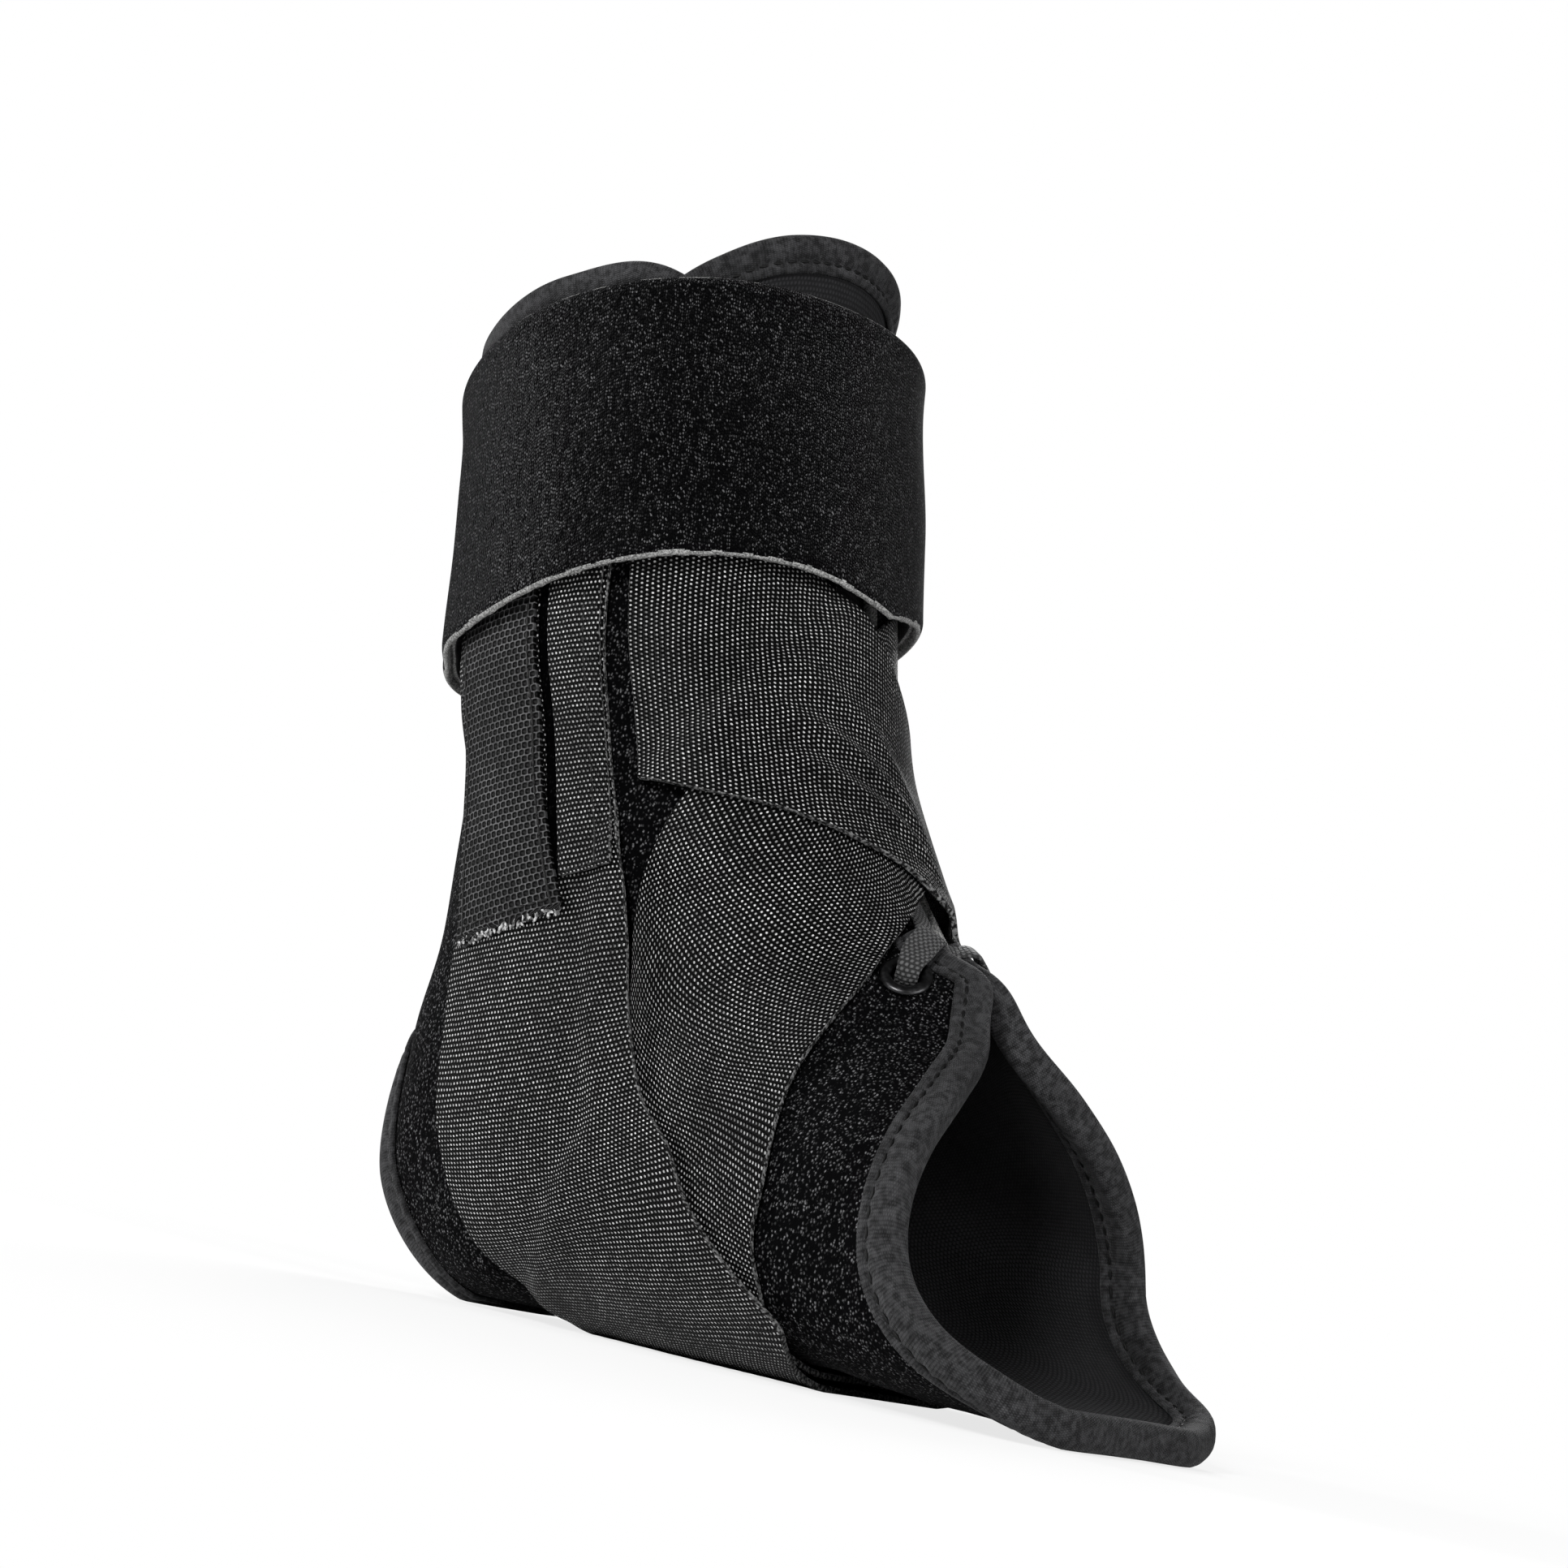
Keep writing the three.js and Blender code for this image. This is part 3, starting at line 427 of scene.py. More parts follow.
def travel(points, axis=0):
    """Lengths along lines of points, from each line's start to each of its points."""
    lengths = np.cumsum(np.linalg.norm(np.diff(points, axis=axis), axis=-1), axis=axis)
    return np.concatenate([np.zeros_like(np.take(lengths, [0], axis)), lengths], axis=axis)


def around_grids():
    """Two grids by station: the share of the half round at which a turn lies, and the turn at a share.
    The turns' own pace is uneven where the sole's squarer corners start."""
    stations = np.linspace(0, 14, 141)
    x = np.linspace(-1, 1, 241)
    turns = 90 + 90 * np.sign(x) * x**2
    station, turn = np.meshgrid(stations, turns, indexing="ij")
    lengths = travel(skin(station.ravel(), turn.ravel()).reshape(len(stations), len(turns), 3), 1)
    forward = lengths / lengths[:, -1:]
    backward = np.array([np.interp(np.linspace(0, 1, 401), row, turns) for row in forward])
    return forward, backward


SHARE_OF_TURN, TURN_OF_SHARE = around_grids()


def read_grid(grid, station, column):
    """A grid of numbers, read between its rows and columns."""
    row = np.clip(station * 10, 0, grid.shape[0] - 1.001)
    column = np.clip(column, 0, grid.shape[1] - 1.001)
    i = row.astype(int)
    j = column.astype(int)
    first = mix(grid[i, j], grid[i, j + 1], column - j)
    second = mix(grid[i + 1, j], grid[i + 1, j + 1], column - j)
    return mix(first, second, row - i)


def to_share(station, turn):
    """Turn as an even measure round the body: 0 at the front, 1 at the back, 2 at the front again."""
    halves = np.floor(turn / 180)
    rest = turn - 180 * halves
    odd = np.mod(halves, 2) == 1
    way = np.where(odd, 180 - rest, rest) / 90 - 1
    column = (np.sign(way) * np.sqrt(np.abs(way)) + 1) / 2 * (SHARE_OF_TURN.shape[1] - 1)
    share = read_grid(SHARE_OF_TURN, station, column)
    return halves + np.where(odd, 1 - share, share)


def to_turn(station, share):
    halves = np.floor(share)
    rest = share - halves
    odd = np.mod(halves, 2) == 1
    column = np.where(odd, 1 - rest, rest) * (TURN_OF_SHARE.shape[1] - 1)
    turn = read_grid(TURN_OF_SHARE, station, column)
    return 180 * halves + np.where(odd, 180 - turn, turn)


def outward(station, turn):
    """Directions straight out of the skin."""
    ahead = skin(station + STATION_STEP, turn) - skin(station - STATION_STEP, turn)
    around = skin(station, turn + TURN_STEP) - skin(station, turn - TURN_STEP)
    return unit(np.cross(around, ahead))


def over(station, turn, height):
    """Points at heights over the shell's outer face."""
    return skin(station, turn) + outward(station, turn) * np.broadcast_to(height, station.shape)[:, None]

def walk(station, turn, direction, distance):
    """The stations and turns reached by going distances over the skin in directions."""
    distance = np.broadcast_to(distance, station.shape)
    steps = max(1, math.ceil(np.abs(distance).max() / WALK_STEP))
    heading = direction.copy()
    share = to_share(station, turn)

    def change(station_step, share_step):
        ahead = skin(station + station_step, to_turn(station + station_step, share + share_step))
        behind = skin(station - station_step, to_turn(station - station_step, share - share_step))
        return (ahead - behind) / (2 * (station_step + share_step))

    for _ in range(steps):
        ahead = change(STATION_STEP, 0)
        around = change(0, SHARE_STEP)
        up = unit(np.cross(around, ahead))
        heading = unit(heading - up * (heading * up).sum(1, keepdims=True))
        aa = (ahead * ahead).sum(1)
        ar = (ahead * around).sum(1)
        rr = (around * around).sum(1)
        ha = (heading * ahead).sum(1) * distance / steps
        hr = (heading * around).sum(1) * distance / steps
        scale = aa * rr - ar * ar
        station = station + (ha * rr - hr * ar) / scale
        share = share + (hr * aa - ha * ar) / scale
    return station, to_turn(station, share)


def waves(points, size, seed, count=7):
    """A gentle relief from about -1 to 1, of bumps of about that size."""
    draw = np.random.default_rng(seed)
    total = np.zeros(len(points))
    for _ in range(count):
        way = draw.normal(size=3)
        way *= draw.uniform(0.7, 1.4) * 2 * math.pi / size / np.linalg.norm(way)
        total += np.sin(points @ way + draw.uniform(0, 2 * math.pi))
    return total / (1.4 * math.sqrt(count))


TOE_SHARES = np.array(TOE_EDGE, float)
TOE_SHARES[:, 0] = to_share(TOE_SHARES[:, 1], TOE_SHARES[:, 0])


def shell_place(u, v):
    """The shell from one edge of the lacing gap round to the other, and from its top to the toes."""
    station = np.full_like(u, 5.0)
    for _ in range(8):
        gap = to_share(station, np.interp(station, *np.array(LACING_GAP, float).T))
        half = mix(gap, 1.0, 2 * np.minimum(u, 1 - u))
        turn = to_turn(station, half)
        station = mix(curve(TOP_EDGE, turn), curve(TOE_SHARES, half), v)
    return station, np.where(u > 0.5, 360 - turn, turn)


def front_line():
    """The front binding's line, up both sides of the lacing gap and round the toes between them, with
    its corners rounded: stations and shares, evenly far apart."""
    rise = np.linspace(FLAP_TOP, 8.95, 30)
    side = np.interp(rise, *np.array(LACING_GAP, float).T)
    toe_station, toe_turn = shell_place(np.linspace(0.004, 0.996, 700), np.ones(700))
    station = np.concatenate([rise, toe_station, rise[::-1]])
    turn = np.concatenate([side, toe_turn, 360 - side[::-1]])
    share = to_share(station, turn)
    length = travel(skin(station, turn))
    count = 1200
    even = np.linspace(0, length[-1], count)
    reach = max(2, round(CORNER_CALM / length[-1] * count))
    window = np.hanning(2 * reach + 1)
    window /= window.sum()
    calm = []
    for values in (station, share):
        values = np.interp(even, length, values)
        padded = np.pad(values, reach, mode="reflect", reflect_type="odd")
        calm.append(np.convolve(padded, window, "valid"))
    return calm


FRONT_LINE = front_line()


def front_edge(t):
    places = np.linspace(0, 1, len(FRONT_LINE[0]))
    station = np.interp(t, places, FRONT_LINE[0])
    return station, to_turn(station, np.interp(t, places, FRONT_LINE[1]))


def heel_edge(t):
    station, turn, station_reach, turn_reach = HEEL_OPENING
    angle = t * 2 * math.pi
    return station + station_reach * np.cos(angle), turn + turn_reach * np.sin(angle)


def tongue_place(u, v):
    side = 2 * u - 1
    top = TONGUE["top"] + TONGUE["corner_drop"] * np.abs(side) ** TONGUE["top_curve"]
    station = mix(top, TONGUE["end"], v)
    down = station - TONGUE["narrow_from"]
    half = mix(TONGUE["top_turn"], TONGUE["low_turn"], smooth(down / TONGUE["narrow_over"]))
    twist = TONGUE["twist"] * (1 - smooth(down / TONGUE["untwist_over"]))
    return station, twist + side * half


def tongue_face(station, turn):
    """Height of the tongue's outer face over the shell's."""
    dip_from, dip_over, dip_until, dip_fade = TONGUE_DIP
    side_turn, side_over, side_until, side_fade = TONGUE_SIDE
    dip = smooth((station - dip_from) / dip_over) * (1 - smooth((station - dip_until) / dip_fade))
    aside = smooth((folded(turn - TONGUE["twist"]) - side_turn) / side_over)
    side = aside * (1 - smooth((station - side_until) / side_fade))
    end = smooth((station - TONGUE_END[0]) / TONGUE_END[1])
    base = -(SHELL_WALL + TONGUE_CLEARANCE)
    return base - BINDING_RISE * np.maximum(dip, end) - (BINDING_RISE + TONGUE_CLEARANCE) * side


def cuff_place(u, v):
    turn = CUFF_START + CUFF_WRAP * v
    return mix(curve(CUFF_TOP, folded(turn)), curve(CUFF_BOTTOM, folded(turn)), u), turn


def cuff_under(station, turn):
    beside = smooth((folded(turn) - CUFF_SIDE[0]) / CUFF_SIDE[1])
    behind = smooth((folded(turn) - CUFF_BACK[0]) / CUFF_BACK[1])
    below = mix(mix(CUFF_OVER_STRAPS, CUFF_OVER_TAPE, beside), CUFF_OVER_SKIN, behind)
    base = mix(CUFF_OVER_BINDING, below, smooth((station - CUFF_DROP[0]) / CUFF_DROP[1]))
    layer = smooth((turn - (CUFF_START + 360 - CUFF_LEAD)) / CUFF_RAMP)
    return base + (CUFF_WALL + CLEARANCE) * layer


def strap_rows(side):
    """The route's rows with their turns as shares."""
    rows = np.array(STRAP_ROUTE, float) * np.array([1, side, 1, side])
    for column in (0, 2):
        rows[:, column + 1] = to_share(rows[:, column], rows[:, column + 1])
    return rows


STRAP_ROWS = {1: strap_rows(1), -1: strap_rows(-1)}


def strap_place(side, u, v):
    rows = STRAP_ROWS[side]
    rear_station, rear_share, fore_station, fore_share = between(rows, v * (len(rows) - 1)).T
    station = mix(rear_station, fore_station, u)
    return station, to_turn(station, mix(rear_share, fore_share, u))


def even_ribs():
    """For both edges of a strap, the places on its route that the ribs of its weave join."""
    v = np.linspace(0, 1, 1500)
    middle, *edges = [travel(skin(*strap_place(1, np.full_like(v, u), v))) for u in (0.5, 0.0, 1.0)]
    even = np.interp(np.linspace(0, middle[-1], len(v)), middle, v)
    window = np.hanning(203)[1:-1]
    window /= window.sum()
    ribs = []
    for length in edges:
        pace = np.gradient(np.interp(even, v, length))
        padded = np.concatenate([np.full(100, pace[:60].mean()), pace, np.full(100, pace[-60:].mean())])
        calm = np.cumsum(np.convolve(padded, window, "valid"))
        calm = (calm - calm[0]) / (calm[-1] - calm[0]) * length[-1]
        ribs.append(np.interp(calm, length, v))
    return ribs


REAR_RIBS, FORE_RIBS = even_ribs()


def route_row(v):
    """The row of the strap's route that the middle of a rib lies at."""
    share = np.linspace(0, 1, len(REAR_RIBS))
    return np.interp(v, share, (REAR_RIBS + FORE_RIBS) / 2) * (len(STRAP_ROUTE) - 1)


def ribbed_place(side, u, v):
    """A place on a strap, by ribs that are evenly far apart."""
    share = np.linspace(0, 1, len(REAR_RIBS))
    rows = STRAP_ROWS[side]
    rear = between(rows, np.interp(v, share, REAR_RIBS) * (len(rows) - 1))[:, :2]
    fore = between(rows, np.interp(v, share, FORE_RIBS) * (len(rows) - 1))[:, 2:]
    station = mix(rear[:, 0], fore[:, 0], u)
    return station, to_turn(station, mix(rear[:, 1], fore[:, 1], u))


def run_place(route, side, u, v):
    """A place on a tape that runs down the side, by rows of a station and its two edges' turns."""
    rows = np.array(route, float) * np.array([1, side, side])
    station, rear_turn, fore_turn = between(rows, v * (len(rows) - 1)).T
    return station, mix(rear_turn, fore_turn, u)


def even_grid(across, along):
    u, v = np.meshgrid(np.linspace(0, 1, across + 1), np.linspace(0, 1, along + 1))
    return u.ravel(), v.ravel()


def lower_strap_points():
    """The lower strap's points on the skin, in a tree for finding the nearest."""
    points = skin(*strap_place(-1, *even_grid(18, 170)))
    tree = KDTree(len(points))
    for index, point in enumerate(points):
        tree.insert(point, index)
    tree.balance()
    return tree


LOWER_STRAP = lower_strap_points()


def strap_under(side, station, turn):
    """Height of a strap's underside: the right strap lies over the left one wherever they cross."""
    if side < 0:
        return np.full(station.shape, LOW_LAYER)
    least = np.array([LOWER_STRAP.find(point)[2] for point in skin(station, turn)])
    return mix(LOW_LAYER, HIGH_LAYER, 1 - smooth((least - CROSSING_NEARBY) / CROSSING_FADE))


def frame_shift():
    """From the body's own coordinates to the frame's, found from where the left strap's solid lies."""
    u, v = even_grid(5, 54)
    rows = np.array(STRAP_ROUTE, float) * np.array([1, -1, 1, -1])
    rear_station, rear_turn, fore_station, fore_turn = between(rows, v * (len(rows) - 1)).T
    station = mix(rear_station, fore_station, u)
    turn = mix(rear_turn, fore_turn, u)
    points = np.concatenate([over(station, turn, LOW_LAYER), over(station, turn, LOW_LAYER + WEBBING)])
    low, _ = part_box("strap_left")
    return np.array([low.x / MM - points[:, 0].min(), low.y / MM - points[:, 1].min(), 0.0])


SHIFT = frame_shift()


def to_frame(points):
    """Points of the body's own coordinates, in millimetres, as metres in the frame."""
    return (points + SHIFT) * MM


def laid_grid(across, along, lay):
    """A bmesh grid laid out by lay(u, v), with a cloth map in metres, and its places from 0 to 1."""
    bm = bmesh.new()
    bmesh.ops.create_grid(bm, x_segments=across, y_segments=along, size=0.5)
    flat = np.array([vert.co[:2] for vert in bm.verts]) + 0.5
    points = to_frame(lay(flat[:, 0], flat[:, 1]))
    for vert, point in zip(bm.verts, points):
        vert.co = point
    order = np.lexsort((flat[:, 0], np.round(flat[:, 1] * along))).reshape(along + 1, across + 1)
    rows = points[order]
    middle = across // 2
    reach = travel(rows, 1)
    cloth = np.zeros((len(flat), 2))
    cloth[order, 0] = reach - reach[:, middle:middle + 1]
    cloth[order, 1] = travel(rows[:, middle])[:, None]
    layer = bm.loops.layers.uv.new("cloth")
    bm.verts.index_update()
    for face in bm.faces:
        for loop in face.loops:
            loop[layer].uv = cloth[loop.vert.index]
    return bm, flat


def away_from_axis(point):
    """Roughly outward, away from the middle line of the shin and the foot."""
    x = point.x / MM - SHIFT[0]
    z = point.z / MM
    foot = Vector((x, 0, ANKLE_HEIGHT / 2))
    shin = Vector((ANKLE_REACH - (z - ANKLE_HEIGHT) * math.tan(math.radians(LEG_LEAN)), 0, z))
    middle = shin if z > ANKLE_HEIGHT else foot
    return Vector((x, point.y / MM - SHIFT[1], z)) - middle


def laid_sheet(across, along, lay):
    """A laid grid, turned over where its faces look into the body."""
    bm, flat = laid_grid(across, along, lay)
    bm.normal_update()
    if sum(face.normal.dot(away_from_axis(face.calc_center_median())) for face in bm.faces) < 0:
        bmesh.ops.reverse_faces(bm, faces=bm.faces)
        bm.normal_update()
    return bm, flat


def laid_tube(across, along, lay):
    """A laid grid whose long sides meet, joined into a tube, with a face over each open end."""
    bm, _ = laid_grid(across, along, lay)
    bmesh.ops.remove_doubles(bm, verts=bm.verts, dist=1e-6)
    open_edges = [edge for edge in bm.edges if edge.is_boundary]
    if open_edges:
        bmesh.ops.holes_fill(bm, edges=open_edges, sides=0)
    bmesh.ops.recalc_face_normals(bm, faces=bm.faces)
    return bm


def finish_piece(bm, name, looks, nodes=(), wall=0.0, bevel=0.0):
    """A bmesh as a finished piece in the frame, with its wall and rounded edges. The looks are the outer
    face's, the inner face's where it has its own, and the rim's."""
    mesh = bpy.data.meshes.new(name)
    for face in bm.faces:
        face.smooth = True
    bm.to_mesh(mesh)
    bm.free()
    piece = bpy.data.objects.new(name, mesh)
    bpy.context.scene.collection.objects.link(piece)
    for look in looks:
        mesh.materials.append(material_for(look))
    if wall:
        solidify = piece.modifiers.new("Wall", "SOLIDIFY")
        solidify.thickness = wall * MM
        solidify.offset = -1.0
        solidify.use_even_offset = False
        solidify.material_offset = int(len(looks) > 2)
        solidify.material_offset_rim = len(looks) - 1
    if bevel:
        rounding = piece.modifiers.new("Rounded edges", "BEVEL")
        rounding.width = bevel * MM
        rounding.segments = 3
        rounding.limit_method = "ANGLE"
        rounding.angle_limit = math.radians(50)
    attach(piece, "root")
    if nodes:
        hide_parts(*nodes)
    return piece


def node(tree, kind, inputs=None, **settings):
    """A node with its settings, and its inputs' values or links."""
    made = tree.nodes.new(kind)
    for key, value in settings.items():
        setattr(made, key, value)
    for key, value in (inputs or {}).items():
        if isinstance(value, bpy.types.NodeSocket):
            tree.links.new(value, made.inputs[key])
        else:
            made.inputs[key].default_value = value
    return made


def maths(tree, operation, *values):
    return node(tree, "ShaderNodeMath", dict(enumerate(values)), operation=operation).outputs[0]


def vector_maths(tree, operation, inputs):
    return node(tree, "ShaderNodeVectorMath", inputs, operation=operation).outputs[0]


def span(tree, value, low, high, start=0.0, end=1.0):
    """A value from low to high brought smoothly to start..end."""
    ends = {"Value": value, "From Min": low, "From Max": high, "To Min": start, "To Max": end}
    return node(tree, "ShaderNodeMapRange", ends, interpolation_type="SMOOTHSTEP").outputs["Result"]


def noise(tree, place, scale, detail):
    return node(tree, "ShaderNodeTexNoise", {"Vector": place, "Scale": scale, "Detail": detail}).outputs


def humps(tree, value):
    """One rounded hump over each whole step of a value."""
    return maths(tree, "SINE", maths(tree, "MULTIPLY", maths(tree, "FRACT", value), math.pi))


def cell_chance(tree, column, row):
    """A random number for each cell."""
    cell = node(tree, "ShaderNodeCombineXYZ", {"X": column, "Y": row}).outputs[0]
    return node(tree, "ShaderNodeTexWhiteNoise", {"Vector": cell}, noise_dimensions="2D").outputs["Value"]


def new_group(name, **inputs):
    """A shader node group's tree and its inputs. An input without a default is a vector."""
    tree = bpy.data.node_groups.new(name, "ShaderNodeTree")
    for label, default in inputs.items():
        kind = "NodeSocketVector" if default is None else "NodeSocketFloat"
        socket = tree.interface.new_socket(name=label, in_out="INPUT", socket_type=kind)
        if default is not None:
            socket.default_value = default
    return tree, tree.nodes.new("NodeGroupInput").outputs


def give(tree, **outputs):
    """Ends a group with its float outputs."""
    for label in outputs:
        tree.interface.new_socket(name=label, in_out="OUTPUT", socket_type="NodeSocketFloat")
    node(tree, "NodeGroupOutput", outputs)


def basket_weave():
    """Rows of small yarn crowns, each row half a step over from the last."""
    tree, given = new_group("Basket weave", Cloth=None, Across=0.0008, Along=0.001)
    shake = maths(tree, "MULTIPLY_ADD", noise(tree, given["Cloth"], 260.0, 1.0)["Fac"], 0.0005, -0.00025)
    parts = node(tree, "ShaderNodeSeparateXYZ", {0: given["Cloth"]}).outputs
    across = maths(tree, "DIVIDE", maths(tree, "ADD", parts["X"], shake), given["Across"])
    along = maths(tree, "DIVIDE", maths(tree, "ADD", parts["Y"], shake), given["Along"])
    row = maths(tree, "FLOOR", along)
    shifted = maths(tree, "MULTIPLY_ADD", row, 0.5, across)
    crown = maths(tree, "MULTIPLY", humps(tree, shifted), humps(tree, along))
    give(
        tree,
        Crown=span(tree, crown, 0.25, 0.95),
        Height=maths(tree, "POWER", crown, 0.6),
        Chance=cell_chance(tree, maths(tree, "FLOOR", shifted), row),
    )


def loop_pile():
    """Brushed loops: a dark matted pile in which some loops catch the light."""
    tree, given = new_group("Loop pile", Place=None, Loop=0.0007, Length=1.6)
    squeeze = maths(tree, "DIVIDE", 1.0, given["Length"])
    squeezed = node(tree, "ShaderNodeCombineXYZ", {"X": 1.0, "Y": 1.0, "Z": squeeze}).outputs[0]
    place = vector_maths(tree, "MULTIPLY", {0: given["Place"], 1: squeezed})
    warp = noise(tree, place, 900.0, 2.0)
    push = vector_maths(tree, "SCALE", {0: warp["Color"], "Scale": 0.0006})
    scale = maths(tree, "DIVIDE", 1.0, given["Loop"])
    moved = vector_maths(tree, "ADD", {0: place, 1: push})
    cells = node(tree, "ShaderNodeTexVoronoi", {"Vector": moved, "Scale": scale}).outputs
    chance = node(tree, "ShaderNodeSeparateColor", {0: cells["Color"]}).outputs[0]
    spot = span(tree, cells["Distance"], 0.1, 0.5, 1.0, 0.0)
    tangle = maths(tree, "MULTIPLY", warp["Fac"], 0.6)
    give(
        tree,
        Sparkle=maths(tree, "MULTIPLY", spot, maths(tree, "POWER", chance, 1.7)),
        Height=maths(tree, "MULTIPLY_ADD", spot, 0.5, tangle),
    )


def wale_pile():
    """Loops that stand in fine upright wales, some brighter than others."""
    tree, given = new_group("Wale pile", Cloth=None, Wale=0.0005, Loop=0.0008)
    parts = node(tree, "ShaderNodeSeparateXYZ", {0: given["Cloth"]}).outputs
    drift = noise(tree, given["Cloth"], 420.0, 2.0)["Fac"]
    sway = maths(tree, "MULTIPLY_ADD", drift, 0.0016, -0.0008)
    across = maths(tree, "DIVIDE", maths(tree, "ADD", parts["Y"], sway), given["Wale"])
    column = maths(tree, "FLOOR", across)
    start = node(tree, "ShaderNodeTexWhiteNoise", {"W": column}, noise_dimensions="1D").outputs["Value"]
    swayed = maths(tree, "SUBTRACT", parts["X"], sway)
    down = maths(tree, "ADD", maths(tree, "DIVIDE", swayed, given["Loop"]), start)
    spot = maths(tree, "MULTIPLY", humps(tree, across), humps(tree, down))
    bright = maths(tree, "POWER", cell_chance(tree, column, maths(tree, "FLOOR", down)), 3.6)
    give(
        tree,
        Sparkle=maths(tree, "MULTIPLY", span(tree, spot, 0.35, 0.95), bright),
        Height=maths(tree, "MULTIPLY_ADD", drift, 0.5, spot),
    )


def cloth_shade():
    """Slow random changes of tone over a cloth, partly its own mottling and partly painted shade standing in
    for soft folds.
    """
    tree, given = new_group("Cloth shade", Place=None, Low=0.75, High=1.25)
    broad = maths(tree, "MULTIPLY", noise(tree, given["Place"], 38.0, 3.0)["Fac"], 0.6)
    both = maths(tree, "MULTIPLY_ADD", noise(tree, given["Place"], 400.0, 2.0)["Fac"], 0.4, broad)
    ends = {"From Min": 0.35, "From Max": 0.65, "To Min": given["Low"], "To Max": given["High"]}
    give(tree, Shade=node(tree, "ShaderNodeMapRange", {"Value": both, **ends}).outputs["Result"])


def use_group(tree, name, inputs):
    return node(tree, "ShaderNodeGroup", inputs, node_tree=bpy.data.node_groups[name]).outputs


def object_place(tree):
    return node(tree, "ShaderNodeTexCoord").outputs["Object"]


def woven(tree, across, along):
    """The basket weave over the cloth's own map, with yarns that far apart."""
    cloth = node(tree, "ShaderNodeUVMap", uv_map="cloth").outputs["UV"]
    return use_group(tree, "Basket weave", {"Cloth": cloth, "Across": across, "Along": along})


def scaled(colour, factor=1.0):
    return (colour[0] * factor, colour[1] * factor, colour[2] * factor, 1.0)


def blended(tree, share, first, second, drift=None):
    """A colour between two, whose tone drifts slowly over the cloth from low to high, partly as painted
    shade.
    """
    colour = node(tree, "ShaderNodeMix", {0: share, 6: first, 7: second}, data_type="RGBA").outputs[2]
    if drift is None:
        return colour
    low, high = drift
    shade = use_group(tree, "Cloth shade", {"Place": object_place(tree), "Low": low, "High": high})["Shade"]
    return vector_maths(tree, "SCALE", {0: colour, "Scale": shade})


def paint(tree, colour, height, depth):
    """Links a colour and a bump of that depth to the material's shader."""
    bump = node(tree, "ShaderNodeBump", {"Height": height, "Distance": depth, "Strength": 1.0})
    shader = tree.nodes["Principled BSDF"]
    tree.links.new(colour, shader.inputs["Base Color"])
    tree.links.new(bump.outputs["Normal"], shader.inputs["Normal"])


def speckle(tree, scale, detail, ends, first, second, depth, drift=None):
    """Paints fine specks from one colour to another."""
    speck = noise(tree, object_place(tree), scale, detail)["Fac"]
    paint(tree, blended(tree, span(tree, speck, *ends), first, second, drift), speck, depth)
    return speck


# The webbing's pale crowns are painted highlights standing in for the sheen of its black yarn, and the dark
# between them is painted shade.
def webbing_look(tree, colours):
    weave = woven(tree, 0.00095, 0.0011)
    bright = maths(tree, "MULTIPLY_ADD", weave["Chance"], 0.75, 0.3)
    lit = maths(tree, "MULTIPLY", span(tree, weave["Crown"], 0.68, 1.0), bright)
    colour = blended(tree, lit, scaled(colours.webbing_shadow), scaled(colours.webbing), (0.6, 1.4))
    paint(tree, colour, weave["Height"], 0.00035)


def loop_look(tree, colours):
    pile = use_group(tree, "Loop pile", {"Place": object_place(tree), "Loop": 0.00062, "Length": 1.25})
    colour = blended(tree, pile["Sparkle"], scaled(colours.loop), scaled(colours.loop_lit), (0.7, 1.3))
    paint(tree, colour, pile["Height"], 0.0004)


def cuff_look(tree, colours):
    cloth = node(tree, "ShaderNodeUVMap", uv_map="cloth").outputs["UV"]
    pile = use_group(tree, "Wale pile", {"Cloth": cloth})
    dark, lit = scaled(colours.loop, 0.8), scaled(colours.loop_lit, 0.62)
    paint(tree, blended(tree, pile["Sparkle"], dark, lit, (0.7, 1.3)), pile["Height"], 0.0003)


def painted_slot_shadow_look(tree, colours):
    """Loop fabric darkened into a painted shadow, as if deep in a narrow slot."""
    pile = use_group(tree, "Loop pile", {"Place": object_place(tree), "Loop": 0.0007, "Length": 1.3})
    colour = blended(tree, pile["Sparkle"], scaled(colours.loop, 0.5), scaled(colours.loop_lit, 0.03))
    paint(tree, colour, pile["Height"], 0.0002)


def binding_look(tree, colours):
    knit = woven(tree, 0.00045, 0.0006)
    fuzz = noise(tree, object_place(tree), 750.0, 4.0)["Fac"]
    worn = maths(tree, "MULTIPLY", span(tree, fuzz, 0.36, 0.64, 0.1, 1.0), 0.65)
    share = maths(tree, "MULTIPLY_ADD", knit["Crown"], 0.35, worn)
    colour = blended(tree, share, scaled(colours.binding, 0.3), scaled(colours.binding, 1.9), (0.6, 1.4))
    paint(tree, colour, knit["Height"], 0.00012)


def lining_look(tree, colours):
    knit = woven(tree, 0.0009, 0.0012)
    dark, pale = scaled(colours.lining, 0.65), scaled(colours.lining, 1.3)
    paint(tree, blended(tree, knit["Crown"], dark, pale, (0.85, 1.15)), knit["Height"], 0.00012)


def lace_look(tree, colours):
    braid = woven(tree, 0.0011, 0.0008)
    dark, pale = scaled(colours.lace, 0.3), scaled(colours.lace, 1.3)
    paint(tree, blended(tree, braid["Crown"], dark, pale, (0.85, 1.15)), braid["Height"], 0.0003)


